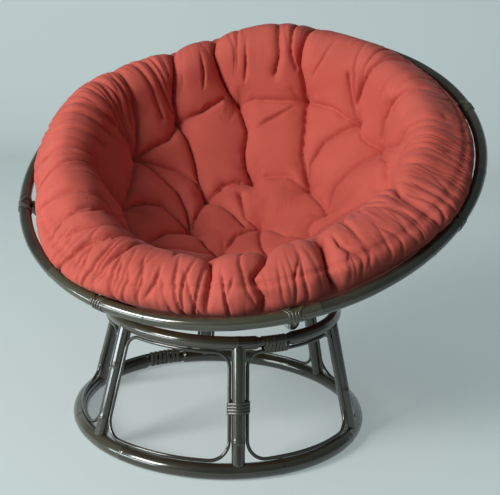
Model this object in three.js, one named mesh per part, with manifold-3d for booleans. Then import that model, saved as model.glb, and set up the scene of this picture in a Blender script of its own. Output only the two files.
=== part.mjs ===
// A papasan chair: a round rattan bowl with a tufted cushion, tilted forward in a ring stand.
// Millimetres, +Z up, the front toward -Y. The origin is on the floor, under the centre of the rim.

import * as THREE from 'three';
import { mergeVertices } from 'three/addons/utils/BufferGeometryUtils.js';
import Module from 'manifold-3d';

const wasm = await Module();
wasm.setup();

// Stand. Radii of rings are to the centre line of the pole, and a pole's size is its diameter.
const floorRingRadius = 324;
const floorPole = 34;
const topRingRadius = 259;
const topPole = 29;
const topRingHeight = 272;
const postPole = 29;
const hoopPole = 8;
const hoopLowerCorner = 42;
const hoopUpperCorner = 30;

// Bowl. The ribs lie on a sphere, whose centre is the point that the bowl tilts about.
const bowlDepth = 322.45; // from the rim's plane down to the ribs' centre lines
const ribPole = 26; // of the ribs and of the lower ring that they end on
const rimRadius = 531;
const rimPole = 28;
const rimOutset = 13; // the rim's centre line lies this far outside the ribs' sphere
const frontRise = 102.4; // along the bowl's slope, from the stand's top ring up to the rim at the front
const lowerRingRadius = 150;

// Cane bindings: flat strips, and the seat that the pole is shaved to under the two ring splices
const caneWidth = 4.6;
const caneThickness = 1.6;
const rimCanePitch = 6.2;
const postCanePitch = 6.3;
const spliceCaneWidth = 6;
const topSplicePitch = 8;
const floorSplicePitch = 13;
const spliceSeatDepth = 3.8;

// Screws through the rings into the post ends
const screwRadius = 2.4;
const screwHeadRadius = 4.4;
const screwHeadThickness = 3;
const screwHeadRecess = 2.2;
const screwReach = 48; // from the ring's centre line into the post
const screwTipRadius = 0.9;
const screwTipLength = 5;

// Cushion
const cushionRoll = 60; // radius of the rolled edge
const cushionInset = 13; // between the rolled edge and the inside of the rim
const cushionCentreThickness = 100;
const innerTuftDepth = 44;
const outerTuftDepth = 52;
const innerTuftSpread = 42;
const outerTuftSpread = 44;
const creaseDepth = 12; // creases that run from the outer tufts over the rolled edge

// Clearances
const jointGap = 0.3; // between pieces that touch
const bowlGap = 0.5; // between the ribs and the stand's top ring
const cushionGap = 0.9; // between the cushion and the ribs
const caneGap = 0.3; // between a cane strip and the pole under it
const caneTieGap = 0.5; // the same where the strip ties a thin hoop to a pole
const mouthShort = 5; // the lips of a mouth end this far short of the ring's centre line
const overrun = 4; // how far a cutting solid passes a face

// Counts and angles
const postCount = 6;
const ribCount = 8;
const firstPost = THREE.MathUtils.degToRad(-60);
const firstRib = THREE.MathUtils.degToRad(-150);
const poleSides = 10;
const slimSides = 8;
const hoopSides = 6;
const standRingSteps = 48;
const rimSteps = 64;
const lowerRingSteps = 24;
const ribSteps = 9;
const topSpliceTurns = 7;
const floorSpliceTurns = 7;
const postTurns = 4;
const rimTurns = 4;
const besideRibShare = 0.3; // of a turn: from here on a rim binding's strip is beside the rib

// Tufts as places on the bowl: azimuth and angle from the bowl's lowest point, in degrees
const outerTuftCount = 12;
const firstOuterTuft = 116;
const outerTufts = Array.from(
  { length: outerTuftCount },
  (_, i) => [firstOuterTuft + (360 / outerTuftCount) * i, 46],
);
const innerTufts = [[0, 0], [163, 20], [116, 20], [59, 20], [16, 20], [-25, 20], [-68, 20], [-108, 20], [-150, 20]];

// Worked-out sizes
const floorRadius = floorPole / 2;
const topRadius = topPole / 2;
const postRadius = postPole / 2;
const hoopRadius = hoopPole / 2;
const ribRadius = ribPole / 2;
const rimPoleRadius = rimPole / 2;
const floorRingHeight = floorRadius * Math.cos(Math.PI / poleSides); // the flat facet under it is on the floor
const rimDrop = (rimRadius ** 2 / (bowlDepth + rimOutset) - bowlDepth - rimOutset) / 2; // below the tilt centre
const bowlRadius = rimDrop + bowlDepth;
const rimDistance = bowlRadius + rimOutset;
const rimAngle = Math.atan2(rimRadius, rimDrop);
const lowerRingDrop = Math.sqrt(bowlRadius ** 2 - lowerRingRadius ** 2);
const lowerRingAngle = Math.atan2(lowerRingRadius, lowerRingDrop);
const seatDistance = bowlRadius + ribRadius + bowlGap + topRadius;
const centreOverTopRing = Math.sqrt(seatDistance ** 2 - topRingRadius ** 2);
const tiltCentreHeight = topRingHeight + centreOverTopRing;
const topRingAngle = Math.atan2(topRingRadius, centreOverTopRing);
const tilt = rimAngle - topRingAngle - frontRise / rimDistance;
const standForward = rimDrop * Math.sin(tilt); // the stand's axis is this far in front of the rim's centre

// Builds one closed body from stations: rings of a section's points, set square to the way of travel.
// The section runs counter-clockwise in each station's x and y, and x cross y points along the way.
function sweep(stations, section, closed) {
  const points = [];
  for (const { at, x, y, scale = 1 } of stations) {
    for (const [a, b] of section) {
      points.push(at.clone().addScaledVector(x, a * scale).addScaledVector(y, b * scale));
    }
  }
  const n = section.length;
  const faces = [];
  const spans = closed ? stations.length : stations.length - 1;
  for (let i = 0; i < spans; i++) {
    const here = i * n;
    const next = ((i + 1) % stations.length) * n;
    for (let j = 0; j < n; j++) {
      const k = (j + 1) % n;
      faces.push([here + j, here + k, next + k], [here + j, next + k, next + j]);
    }
  }
  if (!closed) {
    const last = spans * n;
    for (let j = 1; j < n - 1; j++) {
      faces.push([0, j + 1, j], [last, last + j, last + j + 1]);
    }
  }
  return meshGeometry(points, faces);
}

function meshGeometry(points, faces) {
  const geometry = new THREE.BufferGeometry();
  geometry.setAttribute('position', new THREE.Float32BufferAttribute(points.flatMap((p) => [p.x, p.y, p.z]), 3));
  geometry.setIndex(faces.flat());
  return geometry;
}

function roundSection(radius, sides, phase = 0) {
  return Array.from({ length: sides }, (_, i) => {
    const a = phase + (2 * Math.PI * i) / sides;
    return [radius * Math.cos(a), radius * Math.sin(a)];
  });
}

// Stations of a ring about the Z axis at a height. Their x points outward and their y up.
function ringStations(radius, height, steps) {
  return Array.from({ length: steps }, (_, i) => {
    const a = (-2 * Math.PI * i) / steps;
    const x = new THREE.Vector3(Math.cos(a), Math.sin(a), 0);
    return { at: x.clone().multiplyScalar(radius).setZ(height), x, y: new THREE.Vector3(0, 0, 1) };
  });
}

// Stations of a path: x is the given outward normal, squared to the path.
function pathStations(path, closed) {
  return path.map(({ at, normal }, i) => {
    const n = path.length;
    const before = path[closed ? (i + n - 1) % n : Math.max(i - 1, 0)].at;
    const after = path[closed ? (i + 1) % n : Math.min(i + 1, n - 1)].at;
    const way = after.clone().sub(before).normalize();
    const x = normal.clone().addScaledVector(way, -normal.dot(way)).normalize();
    return { at, x, y: way.clone().cross(x) };
  });
}

// Booleans
function toSolid(geometry) {
  const bare = geometry.clone();
  bare.deleteAttribute('normal');
  bare.deleteAttribute('uv');
  const merged = mergeVertices(bare);
  return new wasm.Manifold(new wasm.Mesh({
    numProp: 3,
    vertProperties: new Float32Array(merged.attributes.position.array),
    triVerts: new Uint32Array(merged.index.array),
  }));
}

function toGeometry(solid) {
  const { vertProperties, triVerts } = solid.getMesh();
  const geometry = new THREE.BufferGeometry();
  geometry.setAttribute('position', new THREE.Float32BufferAttribute(vertProperties, 3));
  geometry.setIndex(Array.from(triVerts));
  return geometry;
}

function cut(geometry, cutters) {
  return toGeometry(cutters.reduce((solid, cutter) => solid.subtract(toSolid(cutter)), toSolid(geometry)));
}

// The rings, and the same rings swollen by the joint gap, which shape the mouths that sit on them
const seatPhase = Math.atan2(centreOverTopRing, -topRingRadius); // an edge of the top ring faces the bowl
const ringShapes = {
  floor: {
    radius: floorRingRadius, height: floorRingHeight, pole: floorRadius, steps: standRingSteps,
    sides: poleSides, phase: Math.PI / poleSides - Math.PI / 2,
  },
  top: {
    radius: topRingRadius, height: topRingHeight, pole: topRadius, steps: standRingSteps,
    sides: poleSides, phase: seatPhase,
  },
  rim: {
    radius: rimRadius, height: -rimDrop, pole: rimPoleRadius, steps: rimSteps,
    sides: slimSides, phase: rimAngle - Math.PI / 2,
  },
  lower: {
    radius: lowerRingRadius, height: -lowerRingDrop, pole: ribRadius, steps: lowerRingSteps,
    sides: slimSides, phase: lowerRingAngle - Math.PI / 2,
  },
};

function ringGeometry({ radius, height, pole, steps, sides, phase }, swell = 0) {
  const size = pole + swell / Math.cos(Math.PI / sides);
  return sweep(ringStations(radius, height, steps), roundSection(size, sides, phase), true);
}

// The centre line of a ring is a polygon: its distance from the axis at an azimuth
function chordRadius({ radius, steps }, azimuth) {
  const step = (2 * Math.PI) / steps;
  const off = THREE.MathUtils.euclideanModulo(azimuth, step) - step / 2;
  return (radius * Math.cos(step / 2)) / Math.cos(off);
}

// Post axes: from ring centre line to ring centre line, in the upright plane through the stand's axis
const postRise = new THREE.Vector2(topRingRadius - floorRingRadius, topRingHeight - floorRingHeight);
const postLength = postRise.length();
postRise.divideScalar(postLength);

// A point on the cone of the post axes, its outward normal and the way up the slope
function onCone(azimuth, slant) {
  const out = new THREE.Vector3(Math.cos(azimuth), Math.sin(azimuth), 0);
  const up = new THREE.Vector3(0, 0, 1);
  const radius = floorRingRadius + postRise.x * slant;
  return {
    at: out.clone().multiplyScalar(radius).addScaledVector(up, floorRingHeight + postRise.y * slant),
    normal: out.clone().multiplyScalar(postRise.y).addScaledVector(up, -postRise.x),
    rise: out.clone().multiplyScalar(postRise.x).addScaledVector(up, postRise.y),
    radius,
  };
}

function postAzimuth(i) {
  return firstPost + (2 * Math.PI * i) / postCount;
}

// A screw on a post's axis: its profile is distances from the ring's centre line, outward, with radii
function screwStations(azimuth, atTop, profile) {
  const { rise, normal } = onCone(azimuth, 0);
  const centre = onCone(azimuth, atTop ? postLength : 0).at;
  const out = atTop ? rise : rise.clone().negate();
  const x = normal;
  const y = out.clone().cross(x);
  return profile.map(([along, scale]) => ({ at: centre.clone().addScaledVector(out, along), x, y, scale }));
}

function screwProfile(pole, reach, clear) {
  const headTop = pole - screwHeadRecess;
  const headUnder = headTop - screwHeadThickness;
  return [
    [-reach, screwTipRadius],
    [screwTipLength - reach, screwRadius],
    [headUnder, screwRadius],
    [headUnder, screwHeadRadius],
    [headTop, screwHeadRadius],
  ].map(([along, radius]) => [along, radius + clear]);
}

function screw(azimuth, atTop) {
  const pole = atTop ? topRadius : floorRadius;
  return sweep(screwStations(azimuth, atTop, screwProfile(pole, screwReach, 0)), roundSection(1, hoopSides), false);
}

// The hole for a screw, open at the ring's outer face and blind in the post
function screwHole(azimuth, atTop) {
  const pole = atTop ? topRadius : floorRadius;
  const headUnder = pole - screwHeadRecess - screwHeadThickness - jointGap;
  const profile = [
    [-screwReach - jointGap, screwRadius + jointGap],
    [headUnder, screwRadius + jointGap],
    [headUnder, screwHeadRadius + jointGap],
    [pole + overrun, screwHeadRadius + jointGap],
  ];
  return sweep(screwStations(azimuth, atTop, profile), roundSection(1, hoopSides), false);
}

function post(azimuth) {
  const { normal, rise } = onCone(azimuth, 0);
  const y = rise.clone().cross(normal);
  const ends = [mouthShort, postLength - mouthShort];
  const stations = ends.map((slant) => ({ at: onCone(azimuth, slant).at, x: normal, y }));
  return cut(sweep(stations, roundSection(postRadius, poleSides), false), [
    ringGeometry(ringShapes.floor, jointGap),
    ringGeometry(ringShapes.top, jointGap),
    screwHole(azimuth, true),
    screwHole(azimuth, false),
  ]);
}

// The thin hoop that lines a bay between two posts: along both posts and under and over the rings
const hoopToPost = postRadius + jointGap + hoopRadius;
const hoopFloorSlant = floorRadius + jointGap + hoopRadius;
const hoopTopSlant = postLength - topRadius - jointGap - hoopRadius;
const hoopSideSteps = 6;
const hoopCornerSteps = 3;

// Half the bay's width, along the cone, between the hoop's two sides
function halfBay(slant) {
  const { radius } = onCone(0, slant);
  return radius * (Math.PI / postCount - Math.asin(hoopToPost / radius));
}

// The half length of the hoop's straight run along a ring
function hoopRun(bottom) {
  return bottom ? halfBay(hoopFloorSlant) - hoopLowerCorner : halfBay(hoopTopSlant) - hoopUpperCorner;
}

function bayHoop(azimuth) {
  const centre = azimuth + Math.PI / postCount;
  const flat = [];
  const corner = (side, bottom, from, to) => {
    const radius = bottom ? hoopLowerCorner : hoopUpperCorner;
    for (let i = 0; i <= hoopCornerSteps; i++) {
      const a = from + ((to - from) * i) / hoopCornerSteps;
      const inset = radius * (1 - Math.sin(a));
      const rise = radius * (1 - Math.cos(a));
      const slant = bottom ? hoopFloorSlant + rise : hoopTopSlant - rise;
      flat.push([side * (halfBay(slant) - inset), slant]);
    }
  };
  const edge = (bottom, side) => {
    const slant = bottom ? hoopFloorSlant : hoopTopSlant;
    for (let i = 1; i < hoopSideSteps; i++) {
      flat.push([side * hoopRun(bottom) * ((2 * i) / hoopSideSteps - 1), slant]);
    }
  };
  corner(-1, true, Math.PI / 2, 0);
  edge(true, 1);
  corner(1, true, 0, Math.PI / 2);
  corner(1, false, Math.PI / 2, 0);
  edge(false, -1);
  corner(-1, false, 0, Math.PI / 2);
  const path = flat.map(([along, slant]) => {
    const { radius } = onCone(0, slant);
    return onCone(centre + along / radius, slant);
  });
  return sweep(pathStations(path, true), roundSection(hoopRadius, hoopSides), true);
}

// Cane bindings.
// The outline that one turn follows: arcs about the poles that it ties, drawn tight like a belt.
function beltOutline(arcs, gap) {
  const outline = [];
  for (const { x, y, radius, from, to, steps } of arcs) {
    const half = (to - from) / steps / 2;
    const distance = (radius + gap + caneThickness / 2) / Math.cos(half);
    for (let i = 0; i <= steps; i++) {
      const a = from + ((to - from) * i) / steps;
      outline.push({ x: x + distance * Math.cos(a), y: y + distance * Math.sin(a), nx: Math.cos(a), ny: Math.sin(a) });
    }
  }
  return outline;
}

function withShares(outline) {
  const lengths = outline.map((p, i) => {
    const q = outline[(i + 1) % outline.length];
    return Math.hypot(q.x - p.x, q.y - p.y);
  });
  const total = lengths.reduce((sum, length) => sum + length, 0);
  let run = 0;
  return outline.map((p, i) => {
    const share = run / total;
    run += lengths[i];
    return { ...p, share };
  });
}

// The least distance between points of a strip that are half a turn or more apart
function leastGap(stations, section, perTurn) {
  const corners = stations.map(({ at, x, y }) => section.flatMap(([a, b]) => [
    at.clone().addScaledVector(x, a).addScaledVector(y, b),
    at.clone().addScaledVector(y, b),
  ]));
  let least = Infinity;
  for (let i = 0; i < corners.length; i++) {
    for (let j = i + Math.ceil(perTurn / 2); j < corners.length; j++) {
      for (const p of corners[i]) {
        for (const q of corners[j]) {
          least = Math.min(least, p.distanceTo(q));
        }
      }
    }
  }
  return least;
}

// Winds a flat strip round an outline. place(s) gives the frame at the distance s along the poles,
// and shift moves a turn sideways, by its number and its share of the way round.
function wind(name, { outline, turns, pitch, width, place, shift = () => 0 }) {
  const turn = withShares(outline);
  const path = [];
  for (let i = 0; i <= turns * turn.length; i++) {
    const number = Math.min(Math.floor(i / turn.length), turns - 1);
    const p = turn[i % turn.length];
    const share = i === turns * turn.length ? 1 : p.share;
    const { at, x, y } = place(pitch * (number + share - turns / 2) + shift(number, share));
    path.push({
      at: at.clone().addScaledVector(x, p.x).addScaledVector(y, p.y),
      normal: x.clone().multiplyScalar(p.nx).addScaledVector(y, p.ny),
    });
  }
  const halfWidth = width / 2;
  const halfThickness = caneThickness / 2;
  const section = [
    [-halfThickness, -halfWidth], [halfThickness, -halfWidth],
    [halfThickness, halfWidth], [-halfThickness, halfWidth],
  ];
  const stations = pathStations(path, false);
  console.log(`${name}: least gap between turns ${leastGap(stations, section, turn.length).toFixed(2)} mm`);
  return sweep(stations, section, false);
}

// The frame on a ring's centre line, a distance along it from an azimuth
function alongRing(ring, azimuth) {
  return (s) => {
    const a = azimuth + s / ring.radius;
    const x = new THREE.Vector3(Math.cos(a), Math.sin(a), 0);
    return { at: x.clone().multiplyScalar(chordRadius(ring, a)).setZ(ring.height), x, y: new THREE.Vector3(0, 0, 1) };
  };
}

// Ties a thin hoop to a big pole: the hoop's centre is at a distance and angle from the pole's
function tieOutline(poleSize, distance, angle) {
  const lean = Math.acos((poleSize - hoopRadius) / distance);
  return beltOutline([
    { x: 0, y: 0, radius: poleSize, from: angle + lean, to: angle + 2 * Math.PI - lean, steps: 8 },
    {
      x: distance * Math.cos(angle), y: distance * Math.sin(angle), radius: hoopRadius,
      from: angle - lean, to: angle + lean, steps: 3,
    },
  ], caneTieGap);
}

const slopeAngle = Math.atan2(postRise.y, postRise.x);
const splices = {
  top: {
    ring: ringShapes.top, post: 0, turns: topSpliceTurns, pitch: topSplicePitch,
    outline: tieOutline(topRadius - spliceSeatDepth, postLength - hoopTopSlant, slopeAngle + Math.PI),
    run: hoopRun(false),
  },
  floor: {
    ring: ringShapes.floor, post: 3, turns: floorSpliceTurns, pitch: floorSplicePitch,
    outline: tieOutline(floorRadius - spliceSeatDepth, hoopFloorSlant, slopeAngle),
    run: hoopRun(true),
  },
};

function spliceLength({ turns, pitch }) {
  return turns * pitch + spliceCaneWidth;
}

// A splice starts where the hoop's straight run starts, on the side of its post
function spliceAzimuth(splice) {
  const bayCentre = postAzimuth(splice.post) + Math.PI / postCount;
  return bayCentre - (splice.run - spliceLength(splice) / 2) / splice.ring.radius;
}

function spliceBinding(name, splice) {
  const { outline, turns, pitch, ring } = splice;
  return wind(name, {
    outline, turns, pitch, width: spliceCaneWidth, place: alongRing(ring, spliceAzimuth(splice)),
  });
}

// The sleeve that is shaved off a ring under its splice, so that the cane lies below the pole's face
function spliceSleeve(splice) {
  const { ring } = splice;
  const azimuth = spliceAzimuth(splice);
  const reach = spliceLength(splice) / 2 + spliceCaneWidth / 2;
  const step = (2 * Math.PI) / ring.steps;
  const piece = (size, grow) => {
    const half = (reach + grow) / ring.radius;
    const azimuths = [azimuth + half];
    for (let i = Math.ceil((azimuth + half) / step) - 1; i * step > azimuth - half; i--) {
      azimuths.push(i * step);
    }
    azimuths.push(azimuth - half);
    const stations = azimuths.map((a) => {
      const x = new THREE.Vector3(Math.cos(a), Math.sin(a), 0);
      return { at: x.clone().multiplyScalar(chordRadius(ring, a)).setZ(ring.height), x, y: new THREE.Vector3(0, 0, 1) };
    });
    return toSolid(sweep(stations, roundSection(size, ring.sides, ring.phase), false));
  };
  return piece(ring.pole + overrun, 0).subtract(piece(ring.pole - spliceSeatDepth, overrun));
}

function standRing(splice, atTop) {
  let body = toSolid(ringGeometry(splice.ring)).subtract(spliceSleeve(splice));
  for (let i = 0; i < postCount; i++) {
    body = body.subtract(toSolid(screwHole(postAzimuth(i), atTop)));
  }
  return toGeometry(body);
}

// Ties both hoops beside a post to it
function postBinding(name, azimuth) {
  const lean = Math.acos((postRadius - hoopRadius) / hoopToPost);
  const side = { y: 0, radius: hoopRadius, steps: 3 };
  const face = { x: 0, y: 0, radius: postRadius, steps: 2 };
  const outline = beltOutline([
    { ...side, x: hoopToPost, from: -lean, to: lean },
    { ...face, from: lean, to: Math.PI - lean },
    { ...side, x: -hoopToPost, from: Math.PI - lean, to: Math.PI + lean },
    { ...face, from: Math.PI + lean, to: 2 * Math.PI - lean },
  ], caneTieGap);
  const { normal, rise } = onCone(azimuth, 0);
  return wind(name, {
    outline, turns: postTurns, pitch: postCanePitch, width: caneWidth,
    place: (s) => ({
      at: onCone(azimuth, postLength / 2 + s).at,
      x: normal.clone().cross(rise), y: normal,
    }),
  });
}

// Bowl pieces, in the bowl's own frame: its origin is the tilt centre and its Z axis is the bowl's
function rib(azimuth) {
  const start = lowerRingAngle + mouthShort / bowlRadius;
  const stations = Array.from({ length: ribSteps + 1 }, (_, i) => {
    const angle = start + ((rimAngle - start) * i) / ribSteps;
    const flat = new THREE.Vector3(Math.cos(azimuth), Math.sin(azimuth), 0);
    const down = new THREE.Vector3(0, 0, -1);
    const x = flat.clone().multiplyScalar(Math.sin(angle)).addScaledVector(down, Math.cos(angle));
    const way = flat.clone().multiplyScalar(Math.cos(angle)).addScaledVector(down, -Math.sin(angle));
    return { at: x.clone().multiplyScalar(bowlRadius), x, y: way.cross(x) };
  });
  return cut(sweep(stations, roundSection(ribRadius, slimSides), false), [
    ringGeometry(ringShapes.rim, jointGap),
    ringGeometry(ringShapes.lower, jointGap),
  ]);
}

// Four turns round the rim at a rib: close together outside, and spread to both sides of the rib inside
function rimBinding(name, azimuth) {
  const towardRib = rimAngle + (3 * Math.PI) / 4;
  const outline = beltOutline([{
    x: 0, y: 0, radius: rimPoleRadius, from: towardRib - Math.PI, to: towardRib + Math.PI, steps: 10,
  }], caneGap).slice(0, -1);
  const beside = ribRadius + caneWidth / 2 + caneTieGap - rimCanePitch / 2;
  const spread = beside / (1 - Math.cos(Math.PI * besideRibShare) ** 4);
  return wind(name, {
    outline, turns: rimTurns, pitch: rimCanePitch, width: caneWidth,
    place: alongRing(ringShapes.rim, azimuth),
    shift: (number, share) => {
      const side = number < rimTurns / 2 ? -1 : 1;
      return side * spread * (1 - Math.cos(Math.PI * share) ** 4);
    },
  });
}

// Cushion: a thick dish on the ribs, with a rolled edge and tufts sewn through it
const cushionUnder = bowlRadius - ribRadius - cushionGap;
const rollDistance = cushionUnder - cushionRoll;
const rollAngle = Math.asin((rimRadius - rimPoleRadius - cushionInset - cushionRoll) / rollDistance);
const cushionSteps = 48;
const underShares = [0.2, 0.47, 0.74];
const rollSteps = 6;
const topShares = [0.93, 0.85, 0.79, 0.73, 0.67, 0.61, 0.53, 0.45, 0.38, 0.32, 0.26, 0.17, 0.09, 0.04];

function spherePoint(azimuth, angle, distance) {
  const out = distance * Math.sin(angle);
  return new THREE.Vector3(out * Math.cos(azimuth), out * Math.sin(azimuth), -distance * Math.cos(angle));
}

function tuftPull(azimuth, angle) {
  const here = spherePoint(azimuth, angle, rollDistance);
  const pull = (tufts, depth, spread) => tufts.reduce((sum, place) => {
    const [a, b] = place.map(THREE.MathUtils.degToRad);
    const away = here.distanceTo(spherePoint(a, b, rollDistance)) / spread;
    return sum + depth * Math.exp(-away * away);
  }, 0);
  return pull(innerTufts, innerTuftDepth, innerTuftSpread) + pull(outerTufts, outerTuftDepth, outerTuftSpread);
}

// How far a crease draws the edge in: deepest in line with an outer tuft, and nothing between two
function crease(azimuth) {
  const across = (outerTuftCount / 2) * (azimuth - THREE.MathUtils.degToRad(firstOuterTuft));
  return creaseDepth * Math.cos(across) ** 4;
}

function cushion() {
  const edgeThickness = 2 * cushionRoll;
  const top = (azimuth, share) => {
    const angle = rollAngle * share;
    const thickness = cushionCentreThickness + (edgeThickness - cushionCentreThickness) * share * share;
    const pull = tuftPull(azimuth, angle) * (1 - share ** 8) + crease(azimuth) * share ** 6;
    return spherePoint(azimuth, angle, cushionUnder - thickness + pull);
  };
  const roll = (azimuth, turn) => {
    const centre = spherePoint(azimuth, rollAngle, rollDistance);
    const size = cushionRoll - crease(azimuth) * Math.sin(turn / 2);
    const out = spherePoint(azimuth, rollAngle, size * Math.cos(turn));
    return centre.add(out).add(spherePoint(azimuth, rollAngle + Math.PI / 2, size * Math.sin(turn)));
  };
  const rings = [
    ...underShares.map((share) => (azimuth) => spherePoint(azimuth, rollAngle * share, cushionUnder)),
    ...Array.from({ length: rollSteps + 1 }, (_, i) => (azimuth) => roll(azimuth, (Math.PI * i) / rollSteps)),
    ...topShares.map((share) => (azimuth) => top(azimuth, share)),
  ];
  const points = [spherePoint(0, 0, cushionUnder)];
  for (const ring of rings) {
    for (let i = 0; i < cushionSteps; i++) {
      points.push(ring((2 * Math.PI * i) / cushionSteps));
    }
  }
  points.push(top(0, 0));
  const last = points.length - 1;
  const faces = [];
  for (let i = 0; i < cushionSteps; i++) {
    const j = (i + 1) % cushionSteps;
    faces.push([0, 1 + j, 1 + i]);
    for (let r = 0; r < rings.length - 1; r++) {
      const here = 1 + r * cushionSteps;
      const next = here + cushionSteps;
      faces.push([here + i, here + j, next + j], [here + i, next + j, next + i]);
    }
    const inner = 1 + (rings.length - 1) * cushionSteps;
    faces.push([last, inner + i, inner + j]);
  }
  return meshGeometry(points, faces);
}

// Finishes
const lacquer = () => new THREE.MeshStandardMaterial({ color: 0x2e261d, roughness: 0.25, metalness: 0 });
const cane = () => new THREE.MeshStandardMaterial({ color: 0x40372a, roughness: 0.35, metalness: 0 });
const steel = () => new THREE.MeshStandardMaterial({ color: 0x8d8d8a, roughness: 0.4, metalness: 1 });
const cotton = () => new THREE.MeshStandardMaterial({ color: 0xd9523f, roughness: 0.9, metalness: 0 });

function piece(parent, name, geometry, material) {
  const mesh = new THREE.Mesh(geometry, material);
  mesh.name = name;
  parent.add(mesh);
}

// Assembly
const chair = new THREE.Group();

const stand = new THREE.Group();
stand.position.y = -standForward;
chair.add(stand);
piece(stand, 'floor_ring', standRing(splices.floor, false), lacquer());
piece(stand, 'top_ring', standRing(splices.top, true), lacquer());
for (let i = 0; i < postCount; i++) {
  const azimuth = postAzimuth(i);
  piece(stand, `post_${i + 1}`, post(azimuth), lacquer());
  piece(stand, `bay_hoop_${i + 1}`, bayHoop(azimuth), lacquer());
  piece(stand, `post_screw_top_${i + 1}`, screw(azimuth, true), steel());
  piece(stand, `post_screw_floor_${i + 1}`, screw(azimuth, false), steel());
}
piece(stand, 'post_binding_front', postBinding('post_binding_front', postAzimuth(0)), cane());
piece(stand, 'post_binding_back', postBinding('post_binding_back', postAzimuth(postCount / 2)), cane());
piece(stand, 'top_ring_binding', spliceBinding('top_ring_binding', splices.top), cane());
piece(stand, 'floor_ring_binding', spliceBinding('floor_ring_binding', splices.floor), cane());

const bowl = new THREE.Group();
bowl.position.set(0, -standForward, tiltCentreHeight);
bowl.rotation.x = tilt;
chair.add(bowl);
piece(bowl, 'rim', ringGeometry(ringShapes.rim), lacquer());
piece(bowl, 'lower_ring', ringGeometry(ringShapes.lower), lacquer());
for (let i = 0; i < ribCount; i++) {
  const azimuth = firstRib + (2 * Math.PI * i) / ribCount;
  piece(bowl, `rib_${i + 1}`, rib(azimuth), lacquer());
  piece(bowl, `rim_binding_${i + 1}`, rimBinding(`rim_binding_${i + 1}`, azimuth), cane());
}
piece(bowl, 'cushion', cushion(), cotton());

export default chair;
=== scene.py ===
"""A papasan chair: a round rattan bowl with a tufted cotton cushion, tilted forward in a ring stand.

Metres, +Z up, the front toward -Y. The origin is on the floor, under the centre of the rim.
"""

import math

import bpy
import numpy as np
from mathutils import Matrix, Vector


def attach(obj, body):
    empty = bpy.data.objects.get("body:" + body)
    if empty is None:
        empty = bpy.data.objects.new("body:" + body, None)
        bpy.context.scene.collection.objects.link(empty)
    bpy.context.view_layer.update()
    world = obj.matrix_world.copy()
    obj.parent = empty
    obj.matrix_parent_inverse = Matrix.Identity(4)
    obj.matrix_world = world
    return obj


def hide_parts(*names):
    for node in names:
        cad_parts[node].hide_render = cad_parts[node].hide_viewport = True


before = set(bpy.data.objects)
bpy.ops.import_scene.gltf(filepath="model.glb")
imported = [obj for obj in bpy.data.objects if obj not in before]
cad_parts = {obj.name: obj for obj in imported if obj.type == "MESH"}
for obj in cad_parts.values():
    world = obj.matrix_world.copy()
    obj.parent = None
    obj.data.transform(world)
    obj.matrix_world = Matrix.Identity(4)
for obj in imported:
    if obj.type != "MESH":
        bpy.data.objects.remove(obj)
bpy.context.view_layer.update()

scene = bpy.context.scene

# Camera, fitted to the outlines of the rings and poles in the photograph
PHOTO_WIDTH = 500
FOCAL_PIXELS = 934.3
SENSOR = 36.0
CAMERA_AT = (0.7754, -2.0289, 0.9506)
CAMERA_YAW = 20.551
CAMERA_PITCH = -14.770
CAMERA_ROLL = 2.555

# Stand. Radii of rings are to the centre line of the pole, and a pole's size is its diameter.
FLOOR_RING_RADIUS = 0.324
FLOOR_POLE = 0.034
TOP_RING_RADIUS = 0.259
TOP_POLE = 0.029
TOP_RING_HEIGHT = 0.272
POST_POLE = 0.029
HOOP_POLE = 0.008
HOOP_LOWER_CORNER = 0.042
HOOP_UPPER_CORNER = 0.030
POST_COUNT = 6
FIRST_POST = math.radians(-60)

# Bowl. The ribs lie on a sphere, whose centre is the point that the bowl tilts about.
BOWL_DEPTH = 0.32245
RIB_POLE = 0.026
RIM_RADIUS = 0.531
RIM_POLE = 0.028
RIM_OUTSET = 0.013
FRONT_RISE = 0.1024
LOWER_RING_RADIUS = 0.150
RIB_COUNT = 8
FIRST_RIB = math.radians(-150)

# Cane strips
RIM_CANE_WIDTH = 0.0054
POST_CANE_WIDTH = 0.0058
CANE_THICKNESS = 0.0013
RIM_CANE_PITCH = 0.0062
POST_CANE_PITCH = 0.0063
SPLICE_CANE_WIDTH = 0.006
TOP_SPLICE_STRIP = 0.0074
FLOOR_SPLICE_STRIP = 0.0085
TOP_SPLICE_PITCH = 0.008
FLOOR_SPLICE_PITCH = 0.013
SPLICE_SEAT_DEPTH = 0.0038
SPLICE_TURNS = 7
BINDING_TURNS = 4
TOGETHER_SHARE = 0.11  # of a turn: up to here a rim binding's strips lie side by side
BESIDE_RIB_SHARE = 0.3  # from here on they are beside the rib

# Clearances
JOINT_GAP = 0.0003
BOWL_GAP = 0.0005
CUSHION_GAP = 0.0009
CANE_GAP = 0.0003
CANE_TIE_GAP = 0.0005
MOUTH_SHORT = 0.005

# Worked-out sizes
DEPTH_AT_RIM = BOWL_DEPTH + RIM_OUTSET
RIM_DROP = (RIM_RADIUS ** 2 / DEPTH_AT_RIM - DEPTH_AT_RIM) / 2
BOWL_RADIUS = RIM_DROP + BOWL_DEPTH
RIM_DISTANCE = BOWL_RADIUS + RIM_OUTSET
RIM_ANGLE = math.atan2(RIM_RADIUS, RIM_DROP)
LOWER_RING_DROP = math.sqrt(BOWL_RADIUS ** 2 - LOWER_RING_RADIUS ** 2)
LOWER_RING_ANGLE = math.atan2(LOWER_RING_RADIUS, LOWER_RING_DROP)
SEAT_DISTANCE = BOWL_RADIUS + RIB_POLE / 2 + BOWL_GAP + TOP_POLE / 2
CENTRE_OVER_TOP_RING = math.sqrt(SEAT_DISTANCE ** 2 - TOP_RING_RADIUS ** 2)
TILT_CENTRE_HEIGHT = TOP_RING_HEIGHT + CENTRE_OVER_TOP_RING
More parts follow.
